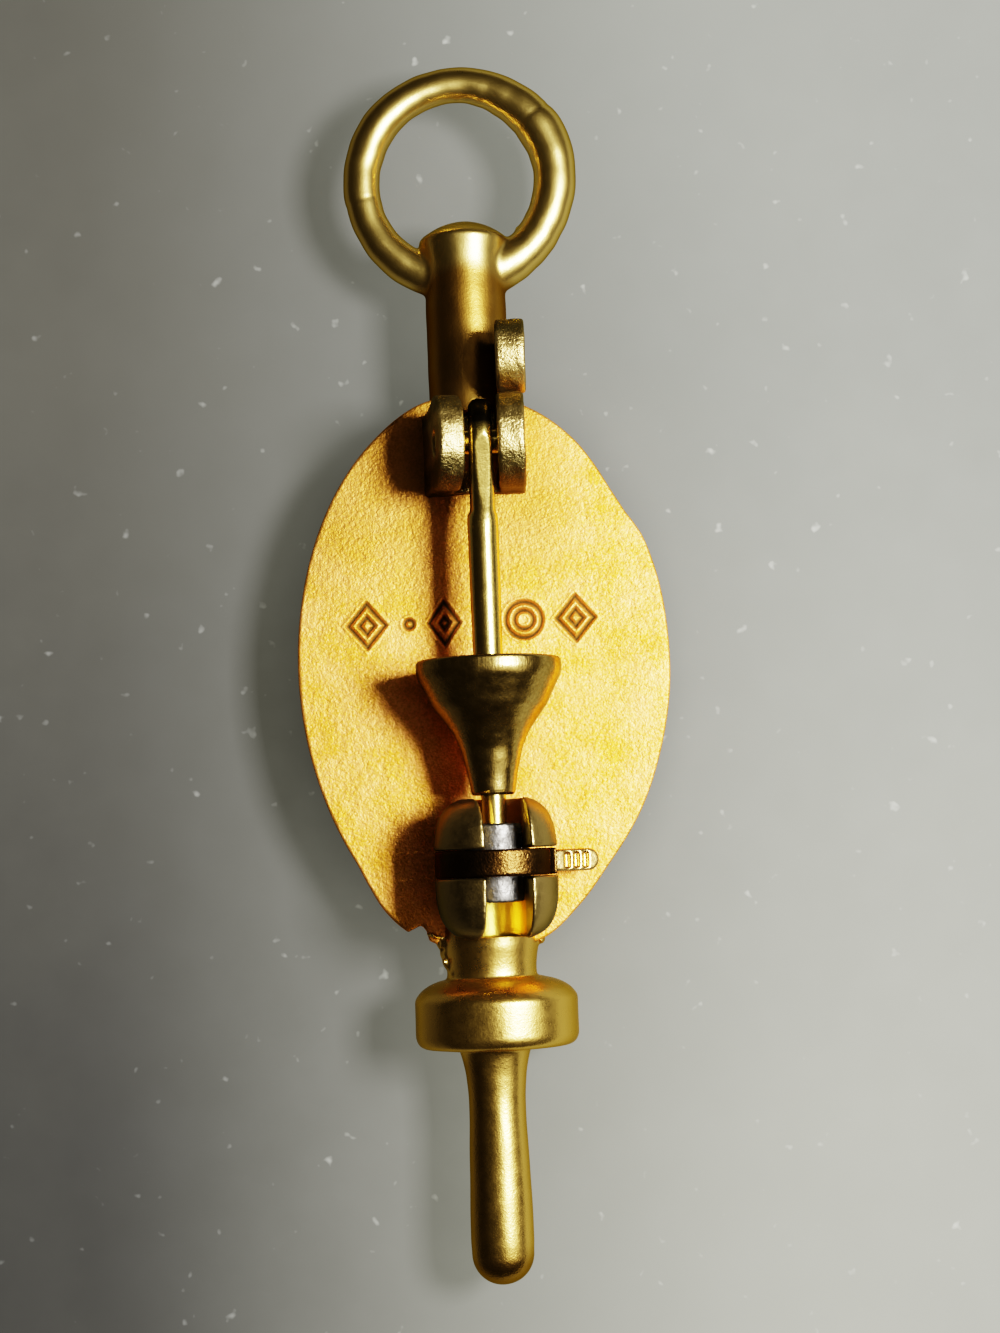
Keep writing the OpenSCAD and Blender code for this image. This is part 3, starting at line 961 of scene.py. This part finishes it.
    def levels(self, turn: Grid) -> list[tuple[Grid, float]]:
        """Loops of points under the back: its rounded rim, its side and the stepped face.

        Args:
            turn: Turn around the oval of each point, in radians.

        Returns:
            X and Y of each loop's points, and the loop's height.
        """
        loops = []
        for c, s in map(bearing, self.rim_turns):
            loops.append((self.outline(turn, -self.edge * (1 - s)), self.datum.plate_z - self.edge * (1 - c)))
        for extra, z in self.side_rows:
            loops.append((self.outline(turn, extra), z))
        for extra, z in self.face_rows:
            x = (self.face_half[0] + extra) * np.cos(turn)
            y = self.centre_y + (self.face_half[1] + extra) * np.sin(turn)
            loops.append((np.stack([x, y], -1), z))
        return loops

    def build(self) -> None:
        """Builds plate and face as one closed piece and dresses it."""
        grid, loop = self.back()
        points = [grid.reshape(-1, 3)]
        number = np.arange(grid[..., 0].size).reshape(grid.shape[:2])
        corners = [number[:-1, :-1], number[1:, :-1], number[1:, 1:], number[:-1, 1:]]
        faces = np.stack(corners, -1).reshape(-1, 4).tolist()
        edge = points[0][loop]
        turn = np.arctan2((edge[:, 1] - self.centre_y) / self.half_length, edge[:, 0] / self.half_width)
        above, start = loop, len(points[0])
        for flat, z in self.levels(turn):
            points.append(np.column_stack([flat, np.full(len(flat), z)]))
            below = np.arange(start, start + len(flat))
            quads = np.stack([above, below, np.roll(below, -1), np.roll(above, -1)], -1)
            faces.extend(quads.tolist())
            above, start = below, start + len(flat)
        faces.append(above[::-1].tolist())
        piece = self.bench.mesh("oval_plate", np.concatenate(points), faces)
        # Tarnish and painted shade in the engraved grooves
        depth = np.zeros(len(piece.data.vertices))
        depth[: grid[..., 0].size] = -self.groove(grid[..., 0], grid[..., 1]).ravel() / self.depth
        self.bench.mark(piece, "hollow", self.groove_dark * np.clip(depth, 0, 1))
        # Painted shade darkens the upper left of the plate
        at = self.bench.places(piece)
        dark = eased(at.y, *self.painted_shade_along) * eased(at.x, *self.painted_shade_across)
        self.bench.mark(piece, "aged", self.painted_shade * dark)
        dress(piece, FROSTED_GOLD, Slot.GOLD, Body.KEY, "key_body")


@dataclass(frozen=True)
class LowerParts(Assembly):
    """Neck, collar and round lower stem, with the cast nubs beside the neck."""

    neck: Profile = Profile(((-8.0, 1.52), (-8.8, 1.5), (-9.25, 1.43), (-9.6, 1.4), (-10.2, 1.42)))
    collar: Profile = Profile(
        ((-9.84, 1.42), (-9.9, 1.68), (-10.05, 2.08), (-10.27, 2.38), (-10.55, 2.54), (-11.6, 2.54),
         (-11.83, 2.47), (-11.96, 2.32), (-12.0, 2.12))
    )
    stem: Profile = Profile(
        ((-11.7, 1.24), (-12.0, 1.14), (-12.4, 1.03), (-12.9, 0.94), (-13.65, 0.885), (-15.2, 0.92),
         (-16.7, 0.965), (-17.9, 0.985), (-18.3, 0.965))
    )
    collar_x: float = -0.03
    stem_x: float = -0.12
    tip: Triple = (-18.3, 0.98, 0.965)
    nubs: tuple[tuple[float, float, float, float], ...] = (
        (-1.9, -8.46, 3.0, 0.13), (-1.75, -8.56, 2.95, 0.12), (-1.62, -8.74, 2.8, 0.19),
        (-1.5, -9.08, 2.7, 0.2), (-1.56, -9.3, 2.85, 0.11), (-1.44, -9.44, 2.85, 0.13),
        (-1.36, -9.66, 3.0, 0.08), (1.42, -8.72, 2.7, 0.15), (-2.06, -8.38, 3.02, 0.08),
    )
    tip_shade: Row = (17.9, 18.7)
    tip_painted_shade: float = 0.85
    side_shade: Row = (0.3, 0.55)
    side_below: Row = (12.0, 12.6)
    side_painted_shade: float = 0.6
    edge: float = 0.05
    collar_fillet: float = 0.1
    stem_fillet: float = 0.14
    nub_fillet: float = 0.1
    nub_squash: float = 0.5
    nub_ripple: Row = (0.06, 0.31)
    ripples: tuple[Triple, ...] = ((0.01, 1.4, 0.8),)
    block: Block = ((-3.4, -19.5, -0.15), (2.8, -7.3, 5.3))
    cell: float = 0.055

    def field(self, space: Space) -> Grid:
        """Distance field of neck, collar, stem and nubs.

        Args:
            space: Sample points.

        Returns:
            The field.
        """
        z = self.datum.axis_z
        shape = self.neck.bar(space, (self.datum.key_x, z), self.edge)
        collar = self.collar.bar(space, (self.collar_x, z), self.edge)
        shape = joined(shape, collar, self.collar_fillet)
        stem = disc(space.x, space.z, (self.stem_x, z), self.stem.at(space.y))
        stem = np.maximum(stem, self.tip[0] - space.y)
        stem = np.maximum(stem, space.y - self.stem.ends()[1])
        place, length, radius = self.tip
        flat = np.hypot((space.x - self.stem_x) / radius, (space.z - z) / radius)
        tip = (np.hypot(flat, (space.y - place) / length) - 1) * radius
        shape = joined(shape, np.minimum(stem, tip), self.stem_fillet)
        for x, y, height, size in self.nubs:
            aside = np.hypot(space.x - x, space.y - y)
            ball = np.hypot(aside, self.nub_squash * (space.z - height)) - size
            shape = joined(shape, ball + ripple(space, *self.nub_ripple, x), self.nub_fillet)
        return self.worked(space, shape)

    def build(self) -> None:
        """Casts and dresses the piece."""
        piece = self.bench.cast("collar_and_stem", self.field, *self.block, self.cell)
        at = self.bench.places(piece)
        # Painted dark reflections on the tip and along the left side of the stem
        tip = eased(-at.y, *self.tip_shade)
        side = eased(self.stem_x - at.x, *self.side_shade) * eased(-at.y, *self.side_below)
        self.bench.mark(piece, "aged", np.maximum(self.tip_painted_shade * tip, self.side_painted_shade * side))
        dress(piece, STEM_GOLD, Slot.GOLD, Body.KEY, "key_body")


@dataclass(frozen=True)
class HingeEars(Assembly):
    """Two cast ears on a low base; the right one has a second lobe beside the stem."""

    radius: float = 1.45
    thickness: float = 0.83
    left_thickness: float = 0.78
    lean: float = 9.0
    left_x: float = -1.62
    right_x: float = 0.7
    lobe_x: float = 0.74
    lobe_thickness: float = 0.9
    lobe: Triple = (9.22, 4.95, 1.14)
    waist: Triple = (6.8, 10.0, 4.5)
    waist_right: float = 1.5
    foot: float = 1.28
    foot_z: float = 2.9
    base_top: float = 3.45
    base_inset: float = 0.05
    hole: float = 0.4
    edge: float = 0.08
    foot_edge: float = 0.02
    waist_edge: float = 0.05
    base_corner: float = 0.1
    base_edge: float = 0.05
    hole_edge: float = 0.03
    foot_fillet: float = 0.15
    waist_fillet: float = 0.05
    lobe_fillet: float = 0.08
    base_fillet: float = 0.12
    ripples: tuple[Triple, ...] = ((0.012, 0.42, 0.0), (0.01, 1.1, 2.0))
    painted_shade: Profile = Profile(
        ((5.0, 1.0), (5.8, 0.9), (6.15, 0.0), (7.15, 0.0), (7.5, 0.9), (8.0, 0.7), (8.15, 0.0), (9.55, 0.0),
         (9.9, 0.95), (10.4, 1.0))
    )
    block: Block = ((-1.9, 4.8, 2.8), (1.9, 10.7, 7.15))
    cell: float = 0.044

    def ear(self, space: Space, left: float, thickness: float) -> Grid:
        """Round ear on its foot.

        Args:
            space: Sample points.
            left: Place of its left side.
            thickness: Its thickness.

        Returns:
            The field.
        """
        y, z = self.datum.pivot_y, self.datum.pivot_z
        foot = rounded(layer(space.y, y, self.foot), slab(space.z, self.foot_z, z), self.foot_edge)
        outline = joined(self.datum.around_pivot(space, self.radius), foot, self.foot_fillet)
        return rounded(outline, slab(space.x, left, left + thickness), self.edge)

    def field(self, space: Space) -> Grid:
        """Distance field of the ears and their base.

        Args:
            space: Sample points.

        Returns:
            The field.
        """
        d = self.datum
        leaning = space.turned(self.lean, self.left_x, d.plate_z)
        shape = self.ear(leaning, self.left_x, self.left_thickness)
        shape = np.minimum(shape, self.ear(space, self.right_x, self.thickness))
        y, z, radius = self.lobe
        lobe = disc(space.y, space.z, (y, z), radius)
        low, high, top = self.waist
        waist = rounded(slab(space.y, low, high), slab(space.z, self.foot_z, top), self.waist_edge)
        side = slab(space.x, self.lobe_x, self.lobe_x + self.lobe_thickness)
        beside = slab(space.x, self.lobe_x, self.waist_right)
        lobe, waist = rounded(lobe, side, self.edge), rounded(waist, beside, self.edge)
        shape = joined(shape, joined(lobe, waist, self.waist_fillet), self.lobe_fillet)
        right = self.right_x + self.thickness - self.base_inset
        wide = slab(space.x, self.left_x + self.base_inset, right)
        base = rounded(wide, layer(space.y, d.pivot_y, self.foot), self.base_corner)
        base = rounded(base, slab(space.z, self.foot_z, self.base_top), self.base_edge)
        shape = self.worked(space, joined(shape, base, self.base_fillet))
        return carved(shape, d.around_pivot(space, self.hole), self.hole_edge)

    def build(self) -> None:
        """Casts and dresses the ears."""
        piece = self.bench.cast("hinge_ears", self.field, *self.block, self.cell)
        # Painted shade darkens the ends of the ears and of the lobe, where their round sides turn away
        self.bench.mark(piece, "aged", self.painted_shade.at(self.bench.places(piece).y))
        dress(piece, CAST_GOLD, Slot.GOLD, Body.KEY, "key_body")


@dataclass(frozen=True)
class HingePin(Assembly):
    """Rivet through the ears and the eye, with softly rounded ends."""

    radius: float = 0.38
    left: float = -1.2
    right: float = 1.5
    edge: float = 0.07
    block: Block = ((-1.35, 5.92, 4.9), (1.65, 7.12, 6.1))
    cell: float = 0.035

    def field(self, space: Space) -> Grid:
        """Distance field of the rivet."""
        bar = self.datum.around_pivot(space, self.radius)
        return rounded(bar, slab(space.x, self.left, self.right), self.edge)

    def build(self) -> None:
        """Casts and dresses the rivet."""
        piece = self.bench.cast("hinge_pin", self.field, *self.block, self.cell)
        dress(piece, DRAWN_GOLD, Slot.GOLD, Body.KEY, "hinge_rivet")


@dataclass(frozen=True)
class CatchBarrel(Assembly):
    """Catch barrel on its foot, open along its mouth and slit for the lever."""

    middle: float = -6.46
    radius: float = 1.86
    half_length: float = 2.17
    fullness: float = 3.5
    farthest: float = 1.2
    slope: float = 0.95
    mouth: float = 1.39
    mouth_turn: float = 13.0
    bore: float = 0.9
    slit: Row = (-6.73, -5.87)
    foot_half: float = 1.05
    foot_y: Row = (-7.95, -4.95)
    foot_z: Row = (2.95, 4.35)
    foot_corner: float = 0.15
    foot_edge: float = 0.05
    foot_fillet: float = 0.12
    edge: float = 0.07
    fine_edge: float = 0.049
    ripples: tuple[Triple, ...] = ((0.006, 1.2, 1.3),)
    skin: float = 0.1
    fade: float = 0.3
    block: Block = ((-1.9, -8.8, 2.9), (2.2, -4.1, 7.5))
    cell: float = 0.048

    def field(self, space: Space) -> Grid:
        """Distance field of the barrel.

        Args:
            space: Sample points.

        Returns:
            The field.
        """
        d, x, z = self.datum, self.datum.pin_x, self.datum.pivot_z
        along = np.minimum(np.abs(space.y - self.middle) / self.half_length, self.farthest)
        out = (d.around_pin(space, 0) / self.radius) ** self.fullness
        size = (out + along**self.fullness) ** (1 / self.fullness)
        shape = (size - 1) * self.radius * self.slope
        foot = rounded(layer(space.x, x, self.foot_half), slab(space.y, *self.foot_y), self.foot_corner)
        foot = rounded(foot, slab(space.z, *self.foot_z), self.foot_edge)
        shape = self.worked(space, joined(shape, foot, self.foot_fillet))
        turned = space.turned(self.mouth_turn, x, z)
        mouth = np.maximum(layer(turned.x, x, self.mouth / 2), z - turned.z)
        shape = carved(shape, mouth, self.edge)
        shape = carved(shape, d.around_pin(space, self.bore), self.fine_edge)
        ring = np.maximum(d.around_pin(space, z - d.plate_z), slab(space.y, *self.slit))
        return carved(shape, ring, self.fine_edge)

    def build(self) -> None:
        """Casts and dresses the barrel."""
        piece = self.bench.cast("catch_barrel", self.field, *self.block, self.cell)
        at = self.bench.places(piece)
        # Inside the bore, painted shade darkens the upper end and painted light brightens the lower end
        inside = self.datum.around_pin(at, 0) < self.bore + self.skin
        self.bench.mark(piece, "aged", inside * share(at.y - self.slit[1], self.fade))
        self.bench.mark(piece, "bared", inside * share(self.slit[0] - at.y, self.fade))
        dress(piece, CATCH_GOLD, Slot.GOLD, Body.KEY, "key_body")


@dataclass(frozen=True)
class PinTongue(Assembly):
    """Pin with a round eye, a leaf shaped flat and a long taper to its point."""

    shaft: Profile = Profile(
        ((6.3, 0.3), (5.6, 0.34), (4.46, 0.37), (4.36, 0.38), (4.26, 0.455), (4.15, 0.47), (2.6, 0.47),
         (0.3, 0.455), (-4.7, 0.375), (-6.8, 0.32), (-7.18, 0.24), (-7.3, 0.12))
    )
    eye: Triple = (-0.17, 0.53, 1.3)
    eye_edge: float = 0.3
    drop: Row = (4.0, 0.42)
    hole: float = 0.42
    facet: tuple[Row, Row] = ((4.25, 6.07), (6.45, 6.78))
    facet_turn: float = 9.0
    facet_bow: float = 0.02
    facet_slope: float = 0.97
    facet_edge: float = 0.02
    hole_edge: float = 0.03
    point_edge: float = 0.03
    head_fillet: float = 0.12
    fade: float = 0.25
    block: Block = ((-0.5, -7.45, 4.05), (0.8, 7.95, 6.95))
    cell: float = 0.039

    def head(self, space: Space) -> Grid:
        """Drop shaped outline of the head, which narrows from the eye into the shaft.

        Args:
            space: Sample points.

        Returns:
            The field.
        """
        d = self.datum
        place, small = self.drop
        radius, length = self.eye[2], d.pivot_y - place
        out, along = np.abs(space.z - d.pivot_z), d.pivot_y - space.y
        fall = (radius - small) / length
        side = math.sqrt(1 - fall * fall)
        reach = side * along - fall * out
        straight = side * out + fall * along - radius
        eye = np.hypot(out, along) - radius
        end = np.hypot(out, along - length) - small
        return np.where(reach < 0, eye, np.where(reach > side * length, end, straight))

    def field(self, space: Space) -> Grid:
        """Distance field of the pin.

        Args:
            space: Sample points.

        Returns:
            The field.
        """
        d = self.datum
        left, right = self.eye[:2]
        eye = rounded(self.head(space), slab(space.x, left, right), self.eye_edge)
        shaft = self.shaft.bar(space, (d.pin_x, d.pivot_z), self.point_edge)
        shape = joined(eye, shaft, self.head_fillet)
        (y0, z0), (y1, z1) = self.facet
        turned = space.turned(self.facet_turn, d.pin_x, (z0 + z1) / 2)
        t = (turned.y - y0) / (y1 - y0)
        height = z0 + (z1 - z0) * t - 4 * self.facet_bow * t * (1 - t)
        height = np.where(t < 0, z0 - 2 * t, height)
        shape = carved(shape, self.facet_slope * (height - turned.z), self.facet_edge)
        return carved(shape, d.around_pivot(space, self.hole), self.hole_edge)

    def build(self) -> None:
        """Casts and dresses the pin."""
        piece = self.bench.cast("pin", self.field, *self.block, self.cell)
        # The head past the flat carries a painted dark reflection
        above = self.bench.places(piece).y - self.facet[1][0] - self.fade
        self.bench.mark(piece, "aged", share(above, self.fade))
        dress(piece, DRAWN_GOLD, Slot.GOLD, Body.TONGUE, "pin_tongue")


@dataclass(frozen=True)
class TrumpetGuard(Assembly):
    """Thin trumpet on the pin that opens toward the hinge and has a rolled lip."""

    mouth_y: float = -0.16
    length: float = 4.1
    wall: float = 0.24
    flare: Profile = Profile(
        ((0.0, 2.2), (0.3, 2.21), (0.48, 2.18), (0.78, 2.04), (1.1, 1.88), (1.4, 1.73), (1.72, 1.5),
         (2.0, 1.3), (2.25, 1.14), (2.5, 1.02), (2.75, 0.925), (3.03, 0.86), (3.5, 0.75), (3.85, 0.69),
         (4.1, 0.66))
    )
    lip: float = 0.11
    neck_edge: float = 0.1
    throat: float = 2.6
    bore: Row = (0.43, 0.4)
    bore_edge: float = 0.08
    lip_from: float = 0.1
    outside: Row = (0.16, 0.12)
    inside: Row = (0.1, 0.3)
    lip_steps: int = 13
    outside_steps: int = 90
    neck_steps: int = 7
    inside_steps: int = 40
    around: int = 192

    def radius(self, along: float) -> float:
        """Outer radius at a distance from the mouth."""
        return float(self.flare.at(np.array(along)))

    def rows(self) -> list[Row]:
        """Closed outline of the trumpet, place along Y and radius.

        Returns:
            Rows from the inner mouth, over the lip and down the outside to the bore.
        """
        rows: list[Row] = []
        y, lip, edge = self.mouth_y, self.lip, self.neck_edge
        low, mouth, neck = y - self.length, self.radius(self.lip_from), self.radius(self.length)
        for c, s in map(bearing, np.linspace(180, 0, self.lip_steps)):
            rows.append((y - lip + lip * s, mouth - lip + lip * c))
        for t in np.linspace(self.outside[0], self.length - self.outside[1], self.outside_steps):
            rows.append((y - t, self.radius(t)))
        for c, s in map(bearing, np.linspace(0, 90, self.neck_steps)):
            rows.append((low + edge - edge * s, neck - edge + edge * c))
        rows += [(low, self.bore[1]), (y - self.throat, self.bore[0])]
        for t in np.linspace(self.throat - self.inside[0], self.inside[1], self.inside_steps):
            rows.append((y - t, max(self.radius(t) - self.wall, self.bore[0] + self.bore_edge)))
        return rows

    def build(self) -> None:
        """Turns and dresses the guard."""
        centre = (self.datum.pin_x, self.datum.pivot_z)
        piece = self.bench.turned("trumpet_guard", self.rows(), centre, self.around)
        dress(piece, BELL_GOLD, Slot.GOLD, Body.TONGUE, "pin_guard")


@dataclass(frozen=True)
class CatchTurn(Assembly):
    """Steel rotor and the gold lever disc with its thumb tab."""

    middle: float = -6.3
    rotor_radius: float = 0.86
    rotor_hole: float = 0.43
    rotor_half: float = 1.175
    rotor_gap: float = 0.8
    lever_radius: float = 1.84
    lever_half: float = 0.4
    lever_gap: float = 1.0
    gap_turn: float = 12.0
    tab_turn: float = 27.0
    tab_reach: float = 3.46
    tab_half: float = 0.34
    tab_root: float = 1.2
    tab_thickness: float = 0.42
    ridges: tuple[float, ...] = (2.34, 2.66, 2.98)
    ridge_cut: Row = (0.09, 0.13)
    ridge_share: float = 0.7
    ridge_edge: float = 0.03
    tab_edge: float = 0.09
    tab_fillet: float = 0.08
    hole_edge: float = 0.04
    play: float = 0.02
    bore_edge: float = 0.03
    rim_edge: float = 0.06
    gap_edge: float = 0.05
    fade: Row = (0.25, 0.2)
    rotor_block: Block = ((-0.85, -7.65, 4.5), (1.15, -4.95, 6.5))
    lever_block: Block = ((-1.85, -6.85, 3.4), (3.65, -5.75, 7.5))
    cell: float = 0.036

    def blank(self, space: Space, radius: float, half: float) -> Grid:
        """Round disc about the pin's line, with half its thickness to each side of the middle."""
        along = layer(space.y, self.middle, half)
        return rounded(self.datum.around_pin(space, radius), along, self.rim_edge)

    def opened(self, space: Space, shape: Grid, wide: float) -> Grid:
        """The shape with a parallel gap in its side.

        Args:
            space: Sample points.
            shape: Distance field.
            wide: Width of the gap.

        Returns:
            The field.
        """
        x, z = self.datum.pin_x, self.datum.pivot_z
        turned = space.turned(-self.gap_turn, x, z)
        return carved(shape, np.maximum(layer(turned.z, z, wide / 2), x - turned.x), self.gap_edge)

    def rotor(self, space: Space) -> Grid:
        """Distance field of the steel rotor.

        Args:
            space: Sample points.

        Returns:
            The field.
        """
        shape = self.blank(space, self.rotor_radius, self.rotor_half)
        shape = carved(shape, self.datum.around_pin(space, self.rotor_hole), self.hole_edge)
        return self.opened(space, shape, self.rotor_gap)

    def lever(self, space: Space) -> Grid:
        """Distance field of the lever disc and its tab.

        Args:
            space: Sample points.

        Returns:
            The field.
        """
        x, z = self.datum.pin_x, self.datum.pivot_z
        shape = self.blank(space, self.lever_radius, self.lever_half)
        turned = space.turned(self.tab_turn, x, z)
        end = self.tab_reach - self.tab_half
        reach = np.hypot(np.maximum(turned.x - x - end, 0), turned.y - self.middle) - self.tab_half
        reach = np.maximum(reach, x + self.tab_root - turned.x)
        tab = rounded(reach, layer(turned.z, z, self.tab_thickness / 2), self.tab_edge)
        wide, deep = self.ridge_cut
        top = z + self.tab_thickness / 2
        for place in self.ridges:
            across = np.hypot(turned.x - x - place, turned.z - top - wide + deep) - wide
            half = self.ridge_share * self.tab_half
            across = np.maximum(across, np.abs(turned.y - self.middle) - half)
            tab = carved(tab, across, self.ridge_edge)
        shape = joined(shape, tab, self.tab_fillet)
        bore = self.datum.around_pin(space, self.rotor_radius + self.play)
        return self.opened(space, carved(shape, bore, self.bore_edge), self.lever_gap)

    def build(self) -> None:
        """Casts and dresses rotor and lever."""
        piece = self.bench.cast("steel_rotor", self.rotor, *self.rotor_block, self.cell)
        dress(piece, ROTOR_STEEL, Slot.STEEL, Body.ROTOR, "catch_rotor")
        piece = self.bench.cast("lever_disc", self.lever, *self.lever_block, self.cell)
        # The lever disc is darker and a little rougher than its tab
        out = self.datum.around_pin(self.bench.places(piece), 0)
        self.bench.mark(piece, "aged", share(self.lever_radius + self.fade[0] - out, self.fade[1]))
        dress(piece, LEVER_GOLD, Slot.GOLD, Body.ROTOR, "lever_ring")


# Table, lights and camera


@dataclass(frozen=True)
class Softbox:
    """A soft rectangular studio light that faces the middle of the table."""

    name: str
    place: Triple
    size: Row
    watts: float
    tint: Triple = (1.0, 1.0, 1.0)

    def hang(self) -> None:
        """Hangs the light."""
        lamp = bpy.data.lights.new(self.name, "AREA")
        lamp.shape, lamp.size, lamp.size_y = "RECTANGLE", self.size[0] * MM, self.size[1] * MM
        lamp.energy, lamp.color = self.watts, self.tint
        holder = bpy.data.objects.new(self.name, lamp)
        bpy.context.scene.collection.objects.link(holder)
        holder.location = Vector(self.place) * MM
        holder.rotation_mode = "QUATERNION"
        holder.rotation_quaternion = (-Vector(self.place)).to_track_quat("-Z", "Y")


@dataclass(frozen=True)
class Studio:
    """Pale table, soft lights and the camera above the key."""

    table_half: float = 400.0
    aim: Triple = (0.5, -0.2, 3.15)
    distance: float = 75.0
    tilt: float = 4.5
    roll: float = -2.3
    lens: float = 64.82
    sensor: float = 36.0
    clip: Row = (0.001, 10.0)
    boxes: tuple[Softbox, ...] = (
        Softbox("window_light", (57.4, -8, 82), (100, 93), 0.017, (1.0, 0.95, 0.82)),
        Softbox("sun_patch", (49.5, 3, 86.5), (26, 23), 0.28),
        Softbox("high_light", (-3, 28, 96), (14, 16), 0.0006),
    )
    gloom: Triple = (0.022, 0.019, 0.009)

    def table(self) -> None:
        """Lays the pale table."""
        h = self.table_half
        corners = np.array([(-h, -h, 0), (h, -h, 0), (h, h, 0), (-h, h, 0)], float)
        piece = Workbench().mesh("table", corners, [[0, 1, 2, 3]])
        piece.data.materials.append(Stone().material())

    def lights(self) -> None:
        """Hangs the lights and dims the room around them."""
        for box in self.boxes:
            box.hang()
        world = bpy.data.worlds.new("room")
        bpy.context.scene.world = world
        world.use_nodes = True
        world.node_tree.nodes["Background"].inputs["Color"].default_value = (*self.gloom, 1.0)

    def camera(self) -> None:
        """Sets the camera almost straight above, turned a little about its line of sight."""
        t, r = math.radians(self.tilt), math.radians(self.roll)
        back = Vector((0, -math.sin(t), math.cos(t)))
        level, up = Vector((1, 0, 0)), Vector((0, math.cos(t), math.sin(t)))
        right, top = math.cos(r) * level + math.sin(r) * up, math.cos(r) * up - math.sin(r) * level
        eye = bpy.data.objects.new("camera", bpy.data.cameras.new("camera"))
        bpy.context.scene.collection.objects.link(eye)
        eye.data.sensor_width, eye.data.lens = self.sensor, self.lens
        eye.data.clip_start, eye.data.clip_end = self.clip
        turn = Matrix((right, top, back)).transposed().to_4x4()
        eye.matrix_world = Matrix.Translation((Vector(self.aim) + back * self.distance) * MM) @ turn
        bpy.context.scene.camera = eye
        bpy.context.scene.view_settings.view_transform = "Filmic"
        bpy.context.scene.view_settings.look = "High Contrast"


def main() -> None:
    """Builds the key piece by piece, then the studio."""
    logging.basicConfig(level=logging.INFO)
    datum, bench = Datum(), Workbench()
    for part in (RingAndStem, OvalPlate, LowerParts, HingeEars, HingePin, CatchBarrel,
                 PinTongue, TrumpetGuard, CatchTurn):
        part(datum, bench).build()
    studio = Studio()
    studio.table()
    studio.lights()
    studio.camera()


if __name__ == "__main__":
    main()
